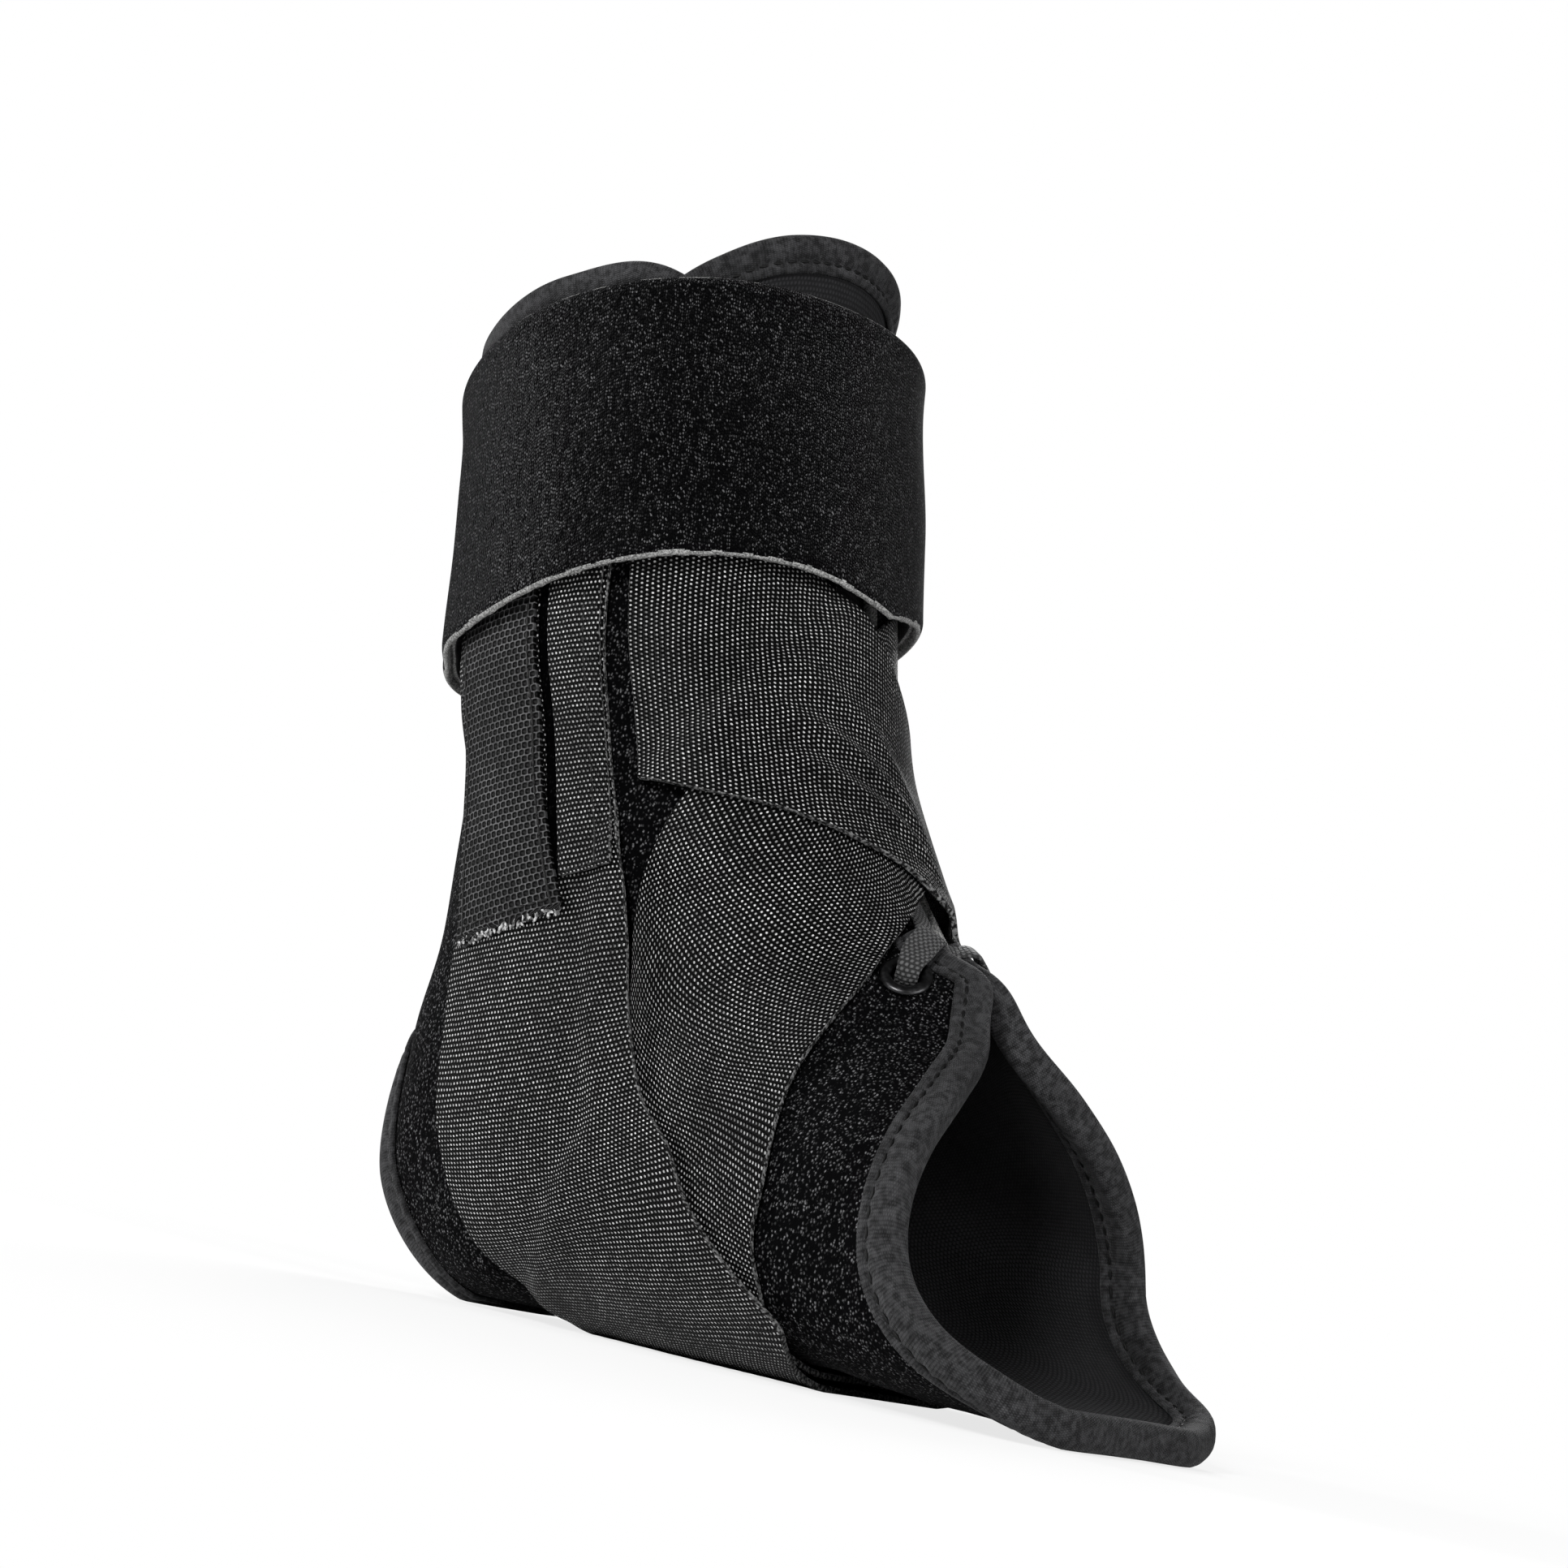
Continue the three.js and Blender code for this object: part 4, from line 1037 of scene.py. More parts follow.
def hook_look(tree, colours):
    """Thin strands round holes darkened with painted shade."""
    ground = woven(tree, 0.0017, 0.0015)
    bright = maths(tree, "MULTIPLY_ADD", ground["Chance"], 0.9, 0.35)
    strand = maths(tree, "MULTIPLY", span(tree, ground["Height"], 0.08, 0.48, 1.0, 0.0), bright)
    colour = blended(tree, strand, scaled(colours.hook, 0.03), scaled(colours.hook, 2.1), (0.8, 1.2))
    paint(tree, colour, maths(tree, "SUBTRACT", 1.0, ground["Crown"]), 0.0004)


def foam_edge_look(tree, colours):
    dark, pale = scaled(colours.foam_edge, 0.3), scaled(colours.foam_edge, 1.2)
    speckle(tree, 2600.0, 3.0, (0.35, 0.7), dark, pale, 0.0003, (0.85, 1.15))


def selvedge_look(tree, colours):
    """The cut and woven edges of the webbing."""
    dark, pale = scaled(colours.webbing_shadow), scaled(colours.webbing, 0.45)
    speckle(tree, 1500.0, 2.0, (0.4, 0.7), dark, pale, 0.0001)


def fray_look(tree, colours):
    """Loose threads at a cut end."""
    dark, pale = scaled(colours.webbing, 0.15), scaled(colours.webbing, 1.2)
    speckle(tree, 900.0, 1.0, (0.35, 0.65), dark, pale, 0.00005)


def thread_look(tree, colours):
    dark, pale = scaled(colours.thread, 0.5), scaled(colours.thread, 1.4)
    speckle(tree, 3000.0, 1.0, (0.35, 0.65), dark, pale, 0.00005)


def eyelet_look(tree, colours):
    dark, pale = scaled(colours.eyelet), scaled(colours.eyelet, 1.8)
    wear = speckle(tree, 900.0, 4.0, (0.45, 0.75), dark, pale, 0.00002)
    roughness = tree.nodes["Principled BSDF"].inputs["Roughness"]
    tree.links.new(span(tree, wear, 0.3, 0.7, 0.28, 0.42), roughness)


# Each look's name and painter, and its roughness, specular level, sheen and metal
SURFACE = ("Roughness", "Specular IOR Level", "Sheen Weight", "Metallic")
LOOKS = {
    "webbing": ("Webbing", webbing_look, 0.5, 0.06),
    "loop": ("Loop fabric", loop_look, 0.95, 0.02, 0.03),
    "cuff": ("Cuff loop fabric", cuff_look, 0.95, 0.02, 0.07),
    "slot": ("Loop fabric with painted slot shadow", painted_slot_shadow_look, 1.0, 0.0),
    "binding": ("Binding knit", binding_look, 0.85, 0.12, 0.08),
    "lining": ("Padded knit lining", lining_look, 0.9, 0.08, 0.05),
    "lace": ("Braided lace", lace_look, 0.7, 0.2, 0.1),
    "hook": ("Hook tape", hook_look, 0.6, 0.06),
    "foam_edge": ("Raw foam edge", foam_edge_look, 0.95, 0.1),
    "selvedge": ("Webbing edge", selvedge_look, 0.7, 0.15),
    "fray": ("Loose threads", fray_look, 0.6, 0.2),
    "thread": ("Stitching thread", thread_look, 0.6, 0.2),
    "eyelet": ("Blackened eyelet", eyelet_look, 0.3, 0.5, 0.0, 1.0),
}
GROUPS = {
    "Basket weave": basket_weave,
    "Loop pile": loop_pile,
    "Wale pile": wale_pile,
    "Cloth shade": cloth_shade,
}
made_materials = {}


def material_for(key):
    """A material of the brace, made the first time that a piece asks for it."""
    for name, make in GROUPS.items():
        if name not in bpy.data.node_groups:
            make()
    if key not in made_materials:
        name, painter, *surface = LOOKS[key]
        material = bpy.data.materials.new(name)
        material.use_nodes = True
        shader = material.node_tree.nodes["Principled BSDF"]
        shader.inputs["Sheen Roughness"].default_value = 0.3
        shader.inputs["Sheen Tint"].default_value = (0.9, 0.9, 0.92, 1)
        for label, value in zip(SURFACE, surface):
            shader.inputs[label].default_value = value
        painter(material.node_tree, bpy.context.scene.brace_colours)
        made_materials[key] = material
    return made_materials[key]


def even_steps(edge, step):
    """Places from 0 to 1 along an edge, evenly far apart, and the edge's length in millimetres."""
    t = np.linspace(0, 1, 800)
    length = travel(skin(*edge(t)))
    count = max(8, round(length[-1] / step))
    return np.interp(np.linspace(0, length[-1], count + 1), length, t), length[-1]


def edge_aside(edge, t, inward, loop):
    """Directions from an edge into its sheet."""
    before = t - EDGE_STEP if loop else np.maximum(0, t - EDGE_STEP)
    after = t + EDGE_STEP if loop else np.minimum(1, t + EDGE_STEP)
    heading = skin(*edge(after)) - skin(*edge(before))
    station, turn = edge(t)
    return unit(np.cross(outward(station, turn), heading)) * inward


def tape_section(sizes, wall):
    """A folded tape's closed section: distance in from the edge, height, and its share of the pucker."""
    rise = sizes.tape_rise / MM
    thin = sizes.tape_thin / MM
    seam = BINDING_WIDTH - sizes.seam_inset / MM
    over_edge = [
        (BINDING_WIDTH, TAPE_GAP, 0),
        (BINDING_WIDTH + 0.15, thin * 0.6, 0),
        (BINDING_WIDTH - 0.2, thin, 0),
        (mix(BINDING_WIDTH, seam, 0.55), thin * 1.12, 0.2),
        (seam + 0.6, thin * 1.02, 0.7),
        (seam, thin * 0.6, 1),
        (seam - 0.6, thin * 1.1, 0.7),
        (seam - 1.3, mix(thin, rise, 0.55), 0.3),
        (seam - 2.2, mix(thin, rise, 0.85), 0.1),
    ]
    points = list(over_edge)
    middle = -wall / 2
    half_height = wall / 2 + rise
    for angle in np.linspace(90, -90, 13):
        c = math.cos(math.radians(angle))
        s = math.sin(math.radians(angle))
        across = 0.3 - (rise + 0.2) * c ** 0.85
        points.append((across, middle + half_height * math.copysign(abs(s) ** 0.8, s), 0))
    points += [(distance, -wall - height, pucker) for distance, height, pucker in reversed(over_edge)]
    points += [(0.3, -wall - TAPE_GAP, 0), (-0.4, -wall - TAPE_GAP, 0)]
    points += [(-0.4, TAPE_GAP, 0), (0.3, TAPE_GAP, 0)]
    points.append(points[0])
    return np.array(points)


def folded_tape(name, edge, loop, inward, outer, wall, nodes):
    """A tape folded over an edge, with its row of stitches drawn a little into the cloth."""
    sizes = bpy.context.scene.brace_sizes
    pitch = sizes.stitch_pitch / MM
    _, length = even_steps(edge, pitch)
    count = round(length / pitch)
    along = count * 4
    t_even, _ = even_steps(edge, length / along)
    section = tape_section(sizes, wall)

    def lay(u, v):
        column = np.round(u * (len(section) - 1)).astype(int)
        distance, height, drawn = section[column].T
        t = np.interp(v, np.linspace(0, 1, len(t_even)), t_even)
        station, turn = walk(*edge(t), edge_aside(edge, t, inward, loop), distance)
        pucker = drawn * PUCKER * np.cos(2 * math.pi * v * count)
        soft = waves(skin(station, turn), BINDING_WAVE, 5) * TAPE_WAVE
        soft = np.where(np.abs(height + wall / 2) > wall / 2 + 0.5, soft, 0)
        height = height + np.where(height > -wall / 2, pucker, -pucker)
        return over(station, turn, outer(station, turn) + height + soft)

    finish_piece(laid_tube(len(section) - 1, along, lay), name, ["binding"], nodes)
    seam = BINDING_WIDTH - sizes.seam_inset / MM
    t = np.interp((np.arange(count) + 0.5) / count, np.linspace(0, 1, len(t_even)), t_even)
    aside = edge_aside(edge, t, inward, loop)
    station, turn = walk(*edge(t), aside, seam)
    thin = sizes.tape_thin / MM
    rows = []
    for height, way in ((thin * 0.75, 1), (-wall - thin * 0.75, -1)):
        up = outward(station, turn) * way
        rows.append((over(station, turn, outer(station, turn) + height), np.cross(up, aside), up))
    stitches(name + "_stitches", rows)


def stitches(name, rows, long=1.0, look="thread"):
    """Rows of stitches: points in the body's coordinates, and directions along each stitch and up."""
    sizes = bpy.context.scene.brace_sizes
    bm = bmesh.new()
    half_length = sizes.stitch_length / 2 * long
    half_width = sizes.thread_width / 2
    for points, alongs, ups in rows:
        for point, along, up in zip(to_frame(points), unit(alongs), unit(ups)):
            aside = np.cross(up, along)
            axes = np.array([aside * half_width, up * half_width * 0.8, along * half_length, point]).T
            matrix = Matrix([*axes.tolist(), (0, 0, 0, 1)])
            bmesh.ops.create_uvsphere(bm, u_segments=6, v_segments=5, radius=1, matrix=matrix)
    bmesh.ops.recalc_face_normals(bm, faces=bm.faces)
    finish_piece(bm, name, [look])


def stitch_line(place, height, start, end, count):
    """A straight row of stitches between two places of a piece, as stitches() takes them."""
    share = (np.arange(count) + 0.5) / count
    step = 0.01

    def at(share):
        return place(mix(start[0], end[0], share), mix(start[1], end[1], share))

    station, turn = at(share)
    way = skin(*at(share + step)) - skin(*at(share - step))
    return over(station, turn, height(station, turn)), way, outward(station, turn)

def length_setting(name, description, default):
    return FloatProperty(name=name, description=description, default=default, unit="LENGTH")


def angle_setting(name, description, degrees):
    return FloatProperty(name=name, description=description, default=math.radians(degrees), subtype="ANGLE")


def colour_setting(name, description, *default):
    return FloatVectorProperty(name=name, description=description, default=default, subtype="COLOR")


class BraceSizes(PropertyGroup):
    """Sizes of the cloth and the stitching."""

    stitch_pitch: length_setting("Stitch pitch", "Distance from one stitch to the next", 0.0034)
    stitch_length: length_setting("Stitch length", "Length of thread that shows", 0.0024)
    thread_width: length_setting("Thread width", "Thickness of the stitching thread", 0.0007)
    seam_inset: length_setting("Seam inset", "Seam's distance from the binding's inner edge", 0.0022)
    tape_rise: length_setting("Binding rise", "Height of the rolled binding over the cloth", 0.0020)
    tape_thin: length_setting("Binding edge", "Height of the binding at its stitched edge", 0.0011)
    relief: length_setting("Padding relief", "Height of the padding's gentle waves", 0.00035)
    strap_relief: length_setting("Strap relief", "Height of the webbing's gentle waves", 0.0004)


class BraceColours(PropertyGroup):
    """Colours of the cloth, tape and metal."""

    loop: colour_setting("Loop fabric", "Depth of the brushed pile", 0.0012, 0.0012, 0.0014)
    loop_lit: colour_setting("Lit loops", "Loops that catch the light", 0.17, 0.17, 0.175)
    # The webbing colour is a painted highlight on the yarn's crowns, and the webbing's edges and loose
    # threads take their pale specks from it. The webbing shadow is painted shade between the yarns.
    webbing: colour_setting("Webbing", "Crowns of the webbing's yarns", 0.42, 0.42, 0.42)
    webbing_shadow: colour_setting("Webbing shadow", "Between the yarns", 0.0015, 0.0015, 0.0015)
    binding: colour_setting("Binding", "Knit binding tape", 0.022, 0.022, 0.023)
    lining: colour_setting("Lining", "Padded knit lining", 0.016, 0.016, 0.017)
    foam_edge: colour_setting("Foam edge", "Cut edge of the cuff's foam", 0.3, 0.3, 0.295)
    hook: colour_setting("Hook tape", "Ground of the hook tape", 0.045, 0.045, 0.046)
    lace: colour_setting("Lace", "Flat braided lace", 0.075, 0.075, 0.076)
    thread: colour_setting("Thread", "Stitching thread", 0.003, 0.003, 0.003)
    eyelet: colour_setting("Eyelet", "Blackened metal of the eyelets", 0.03, 0.03, 0.031)


class StageSettings(PropertyGroup):
    """The camera, the light and the floor."""

    azimuth: angle_setting("Azimuth", "Camera's way round the brace", 38)
    elevation: angle_setting("Elevation", "Camera's angle over the aim", -9)
    roll: angle_setting("Roll", "Camera's turn about its own line of sight", 12)
    distance: length_setting("Distance", "Camera's distance from the aim", 0.6)
    aim: FloatVectorProperty(
        name="Aim",
        description="Point that the camera is turned to, in the body's coordinates",
        default=(0.062, 0.0, 0.115),
        subtype="TRANSLATION",
        unit="LENGTH",
    )
    lens: FloatProperty(
        name="Lens", description="Focal length in millimetres on a 36 mm sensor", default=65.2, unit="CAMERA"
    )
    shift: FloatVectorProperty(
        name="Shift", description="Shift of the picture to the photograph's framing", size=2,
        default=(0.0316, 0.0072),
    )
    floor_radius: length_setting("Floor radius", "Radius of the round floor", 5.0)
    sides: IntProperty(name="Floor sides", description="Sides of the round floor", default=96)


def shell_holes(u, v):
    """The shell's places with the corners round its holes drawn onto their edges, each place's distance
    from the heel opening's middle, where its edge is 1, and the cells that the holes take out."""
    station, turn = shell_place(u, v)
    points = skin(station, turn)
    middle_station, middle_turn, station_reach, turn_reach = HEEL_OPENING
    heel = np.hypot((station - middle_station) / station_reach, (turn - middle_turn) / turn_reach)
    holes = [(heel, middle_station, middle_turn)]
    radius = EYELET_BORE / 2 + EYELET_WALL + CLEARANCE
    for side in (1, -1):
        eye = skin(np.array([EYELET[0]]), np.array([EYELET[1] * side]))
        holes.append((np.linalg.norm(points - eye, axis=1) / radius, EYELET[0], EYELET[1] * side % 360))
    cells = [(round(i), round(j)) for i, j in zip(u * SHELL_CELLS[0], v * SHELL_CELLS[1])]
    lookup = {cell: index for index, cell in enumerate(cells)}
    gone = set()
    for share, middle_station, middle_turn in holes:
        cut = set()
        for i, j in [cells[index] for index in np.nonzero(share < 1.6)[0]]:
            corners = [lookup.get((i + a, j + b)) for a, b in CORNERS]
            if None not in corners and np.mean(share[corners]) < 1:
                cut.add((i, j))
        for i, j in [(i + a, j + b) for i, j in cut for a, b in CORNERS]:
            if any((i - a, j - b) not in cut for a, b in CORNERS):
                corner = lookup[i, j]
                station[corner] = middle_station + (station[corner] - middle_station) / share[corner]
                turn[corner] = middle_turn + (turn[corner] - middle_turn) / share[corner]
                share[corner] = 1
        gone |= cut
    return station, turn, heel, gone


class BRACE_OT_shell(Operator):
    """Make the padded shell with its heel opening and eyelet holes"""

    bl_idname = "brace.shell"
    bl_label = "Shell"

    def execute(self, context):
        relief = context.scene.brace_sizes.relief / MM
        across, along = SHELL_CELLS
        gone = set()

        def lay(u, v):
            station, turn, heel, cells = shell_holes(u, v)
            gone.update(cells)
            soft = waves(skin(station, turn), SHELL_WAVE, 11) * relief
            edge = np.minimum(np.minimum(u, 1 - u) * SHELL_STILL[0], np.minimum(v, 1 - v) * SHELL_STILL[1])
            return over(station, turn, soft * smooth(edge) * (heel > HEEL_STILL) - SHELL_SINK)

        bm, flat = laid_sheet(across, along, lay)
        doomed = []
        for face in bm.faces:
            low = flat[[vert.index for vert in face.verts]].min(axis=0)
            if (round(low[0] * across), round(low[1] * along)) in gone:
                doomed.append(face)
        bmesh.ops.delete(bm, geom=doomed, context="FACES")
        looks = ["loop", "lining", "foam_edge"]
        nodes = ["shell_right", "shell_left"]
        shell = finish_piece(bm, "boot_shell", looks, nodes, SHELL_WALL)
        return {"FINISHED"}


def on_skin(station, turn):
    return np.zeros(station.shape)


class BRACE_OT_bindings(Operator):
    """Make the tapes folded over the shell's top, toe and heel edges, with their stitches"""

    bl_idname = "brace.bindings"
    bl_label = "Bindings"

    def execute(self, context):
        def top(t):
            return shell_place(t, np.zeros_like(t))

        folded_tape("top_tape", top, False, 1, on_skin, SHELL_WALL, ["top_binding"])
        folded_tape("front_tape", front_edge, False, -1, on_skin, SHELL_WALL, ["front_binding"])
        folded_tape("heel_tape", heel_edge, True, 1, on_skin, SHELL_WALL, ["heel_binding"])
        return {"FINISHED"}


class BRACE_OT_tongue(Operator):
    """Make the padded tongue and its bound top edge"""

    bl_idname = "brace.tongue"
    bl_label = "Tongue"

    def execute(self, context):
        relief = context.scene.brace_sizes.relief / MM

        def lay(u, v):
            station, turn = tongue_place(u, v)
            soft = waves(skin(station, turn), TONGUE_WAVE, 23) * relief * 0.7
            return over(station, turn, tongue_face(station, turn) + soft)

        bm, _ = laid_sheet(72, 130, lay)
        nodes = ["tongue"]
        tongue = finish_piece(bm, "padded_tongue", ["lining"], nodes, TONGUE_PAD, bevel=1.4)

        def top(t):
            return tongue_place(t, np.zeros_like(t))

        folded_tape("tongue_tape", top, False, 1, tongue_face, TONGUE_PAD, ["tongue_binding"])
        return {"FINISHED"}


class BRACE_OT_cuff(Operator):
    """Make the wide padded cuff, wrapped round the shin with its end over its start"""

    bl_idname = "brace.cuff"
    bl_label = "Cuff"

    def execute(self, context):
        relief = context.scene.brace_sizes.relief / MM

        def pad(u):
            """Share of the padding's thickness, which the cut edges press flat."""
            inward = np.minimum(u, 1 - u) / CUFF_EDGE
            return mix(CUFF_PRESSED, 1.0, np.sqrt(np.clip(1 - (1 - np.clip(inward, 0, 1)) ** 2, 0, 1)))

        def crowded(u):
            """Lines of cells drawn together at both edges."""
            return u - CUFF_CROWD * np.sin(u * 2 * math.pi)

        def lay(u, v):
            station, turn = cuff_place(crowded(u), v)
            points = skin(station, turn)
            soft = waves(points, CUFF_WAVE, 31) * relief
            ragged = waves(points, 2.2, 33) * CUFF_RAGGED * (np.minimum(u, 1 - u) < 0.001)
            height = cuff_under(station, turn) + CUFF_WALL * pad(crowded(u)) + soft
            return over(station + ragged / STATION_LENGTH, turn, height)

        bm, flat = laid_sheet(64, 340, lay)
        uneven = 0.9 + 0.35 * waves(skin(*cuff_place(flat[:, 0], flat[:, 1])), 5.0, 35)
        for face in bm.faces:
            corners = [vert.index for vert in face.verts]
            place = crowded(np.mean(flat[corners, 0]))
            reach = CUT_EDGE * np.mean(uneven[corners])
            if place < reach / 3 or place > 1 - reach:
                face.material_index = 2
        looks = ["cuff", "lining", "foam_edge"]
        cuff = finish_piece(bm, "shin_cuff", looks, ["cuff"], CUFF_WALL)
        group = cuff.vertex_groups.new(name="pad")
        for index, share in enumerate(pad(crowded(flat[:, 0]))):
            group.add([index], float(share), "REPLACE")
        cuff.modifiers["Wall"].vertex_group = "pad"
        return {"FINISHED"}


def crease_height(u, v):
    """Soft creases along the upper strap where it bends over the instep."""
    row = route_row(v)
    begins, over_rows, ends, fade = CREASE_ROWS
    shown = smooth((row - begins) / over_rows) * (1 - smooth((row - ends) / fade))
    total = np.zeros(u.shape)
    for middle, slant, reach, height in CREASES:
        total += height * np.exp(-((u - middle - slant * (row - 3)) / reach) ** 2)
    return total * shown


class BRACE_OT_straps(Operator):
    """Make the two webbing straps that cross over the instep and pass under the arch"""

    bl_idname = "brace.straps"
    bl_label = "Straps"

    def execute(self, context):
        relief = context.scene.brace_sizes.strap_relief / MM
        for side, word in ((1, "right"), (-1, "left")):

            def lay(u, v):
                station, turn = ribbed_place(side, u, v)
                calm = (1 - 0.7 * smooth((v - 0.6) / 0.1)) * (1 - smooth((folded(turn) - 95) / 20))
                soft = (waves(skin(station, turn), STRAP_WAVE, 41 + side) * 0.5 + 0.5) * relief * calm
                crease = crease_height(u, v) if side > 0 else 0
                return over(station, turn, strap_under(side, station, turn) + WEBBING + soft + crease)

            bm, _ = laid_sheet(36, 460, lay)
            area = sum(face.calc_area() for face in bm.faces)
            length = travel(skin(*strap_place(side, np.full(200, 0.5), np.linspace(0, 1, 200))))[-1] * MM
            looks = ["webbing", "selvedge"]
            strap = finish_piece(
                bm, f"webbing_strap_{word}", looks, [f"strap_{word}"], WEBBING, bevel=0.4
            )
        return {"FINISHED"}

class BRACE_OT_hook_tapes(Operator):
    """Make the hook tape and the folded webbing on the upright run of each strap, and their seams"""

    bl_idname = "brace.hook_tapes"
    bl_label = "Hook tapes"

    def execute(self, context):
        for side, word in ((1, "right"), (-1, "left")):
            draw = np.random.default_rng(60 + side)
            fray = draw.normal(0, FRAY_DEPTH, 90)

            def top_of_strap(station, turn):
                return strap_under(side, station, turn) + WEBBING

            def on_tape(station, turn):
                return top_of_strap(station, turn) + TAPE_LIFT + HOOK_TAPE

            def on_fold(station, turn):
                return top_of_strap(station, turn) + FOLD_LIFT + FOLD_WALL

            def tape(u, v):
                return run_place(TAPE_ROUTE, side, u, v)

            def fold(u, v):
                return run_place(FOLD_ROUTE, side, u, v)

            def lay_tape(u, v):
                station, turn = tape(u, v)
                ragged = np.interp(u, np.linspace(0, 1, len(fray)), fray)
                station = station + ragged * smooth((v - 1 + FRAYED) / FRAYED)
                return over(station, turn, on_tape(station, turn))

            def lay_fold(u, v):
                station, turn = fold(u, v)
                return over(station, turn, on_fold(station, turn) + FOLD_CROWN * np.sin(u * math.pi))

            def lay_slot(u, v):
                station, turn = fold(np.zeros_like(u), v)
                return over(station, turn + side * FOLD_GAP * u, top_of_strap(station, turn) + TAPE_LIFT)

            bm, _ = laid_sheet(60, 200, lay_tape)
            nodes = [f"hook_tape_{word}"]
            finish_piece(bm, f"hook_strip_{word}", ["hook"], nodes, HOOK_TAPE, bevel=0.25)
            bm, _ = laid_sheet(10, 120, lay_fold)
            looks = ["webbing", "selvedge"]
            finish_piece(bm, f"folded_webbing_{word}", looks, (), FOLD_WALL, bevel=0.35)
            # A thin dark strip in the slot beside the fold: a painted shadow.
            bm, _ = laid_sheet(4, 60, lay_slot)
            finish_piece(bm, f"fold_shadow_{word}", ["slot"], (), 0.2)

            rows = [
                stitch_line(tape, on_tape, (0.07, 0.1), (0.07, 0.97), 36),
                stitch_line(tape, on_tape, (0.93, 0.1), (0.93, 0.97), 36),
                stitch_line(tape, on_tape, (0.08, 0.95), (0.92, 0.95), 9),
                stitch_line(fold, on_fold, (0.72, 0.2), (0.72, 0.985), 34),
                stitch_line(fold, on_fold, (0.12, 0.985), (0.9, 0.985), 5),
            ]
            stitches(f"strap_seams_{word}", rows)
            frayed_end(f"frayed_end_{word}", tape, on_tape, draw)
        return {"FINISHED"}


def frayed_end(name, place, height, draw):
    """Short loose threads along the cut end of a hook tape."""
    count = FRAY_THREADS
    u = draw.uniform(0.02, 0.98, count)
    v = draw.uniform(0.985, 1.005, count)
    station, turn = place(u, v)
    up = outward(station, turn)
    down = unit(skin(*place(u, v + 0.01)) - skin(*place(u, v)))
    aside = np.cross(up, down)
    way = down + aside * draw.normal(0, 0.9, (count, 1)) + up * draw.uniform(-0.25, 0.3, (count, 1))
    points = over(station, turn, height(station, turn) - draw.uniform(0.1, 0.7, count))
    stitches(name, [(points + unit(way) * 0.5, way, up)], long=0.7, look="fray")


def lace_lay(side):
    """Lays a flat braided lace along its route, as laid_grid() asks."""
    rows = np.array(LACE_ROUTE, float) * np.array([1, side, 1, 1])
    drop = 0 if side > 0 else LOWER_LACE_DROP

    def middle(t):
        station, turn, height, width = between(rows, t * (len(rows) - 1)).T
        sunk = drop * smooth((t - LACE_SINK[0]) / LACE_SINK[1])
        return station, turn, width, over(station, turn, height - sunk)

    first = rows[0, :2]
    late = rows[-4, :2]
    ends = skin(np.array([first[0], late[0]]), np.array([first[1], late[1]]))
    trend = ends[1] - ends[0]

    def lay(u, v):
        station, turn, width, point = middle(v)
        heading = unit(middle(np.minimum(1, v + 0.01))[3] - middle(np.maximum(0, v - 0.01))[3])
        way = np.where((v < LACE_TURNS_DOWN)[:, None], trend[None, :], heading)
        across = unit(np.cross(outward(station, turn), way))
        rise = unit(np.cross(heading, across))
        across = np.cross(rise, heading)
        angle = u * 2 * math.pi
        c = np.cos(angle)
        s = np.sin(angle)
        bunch = 1 + 0.12 * np.sin(angle * 5) * (1 - smooth((v - 0.08) / 0.12))
        x = np.sign(c) * np.abs(c) ** 0.6 * width * LACE_WIDTH / 2 * bunch
        y = np.sign(s) * np.abs(s) ** 0.8 * LACE_THICKNESS / 2 * bunch
        return point + across * x[:, None] + rise * y[:, None]

    return lay


class BRACE_OT_laces(Operator):
    """Make the flat laces that come up through the lowest eyelets"""

    bl_idname = "brace.laces"
    bl_label = "Laces"

    def execute(self, context):
        for side, word in ((1, "right"), (-1, "left")):
            bm = laid_tube(32, 150, lace_lay(side))
            finish_piece(bm, f"flat_lace_{word}", ["lace"], [f"lace_{word}"])
        return {"FINISHED"}


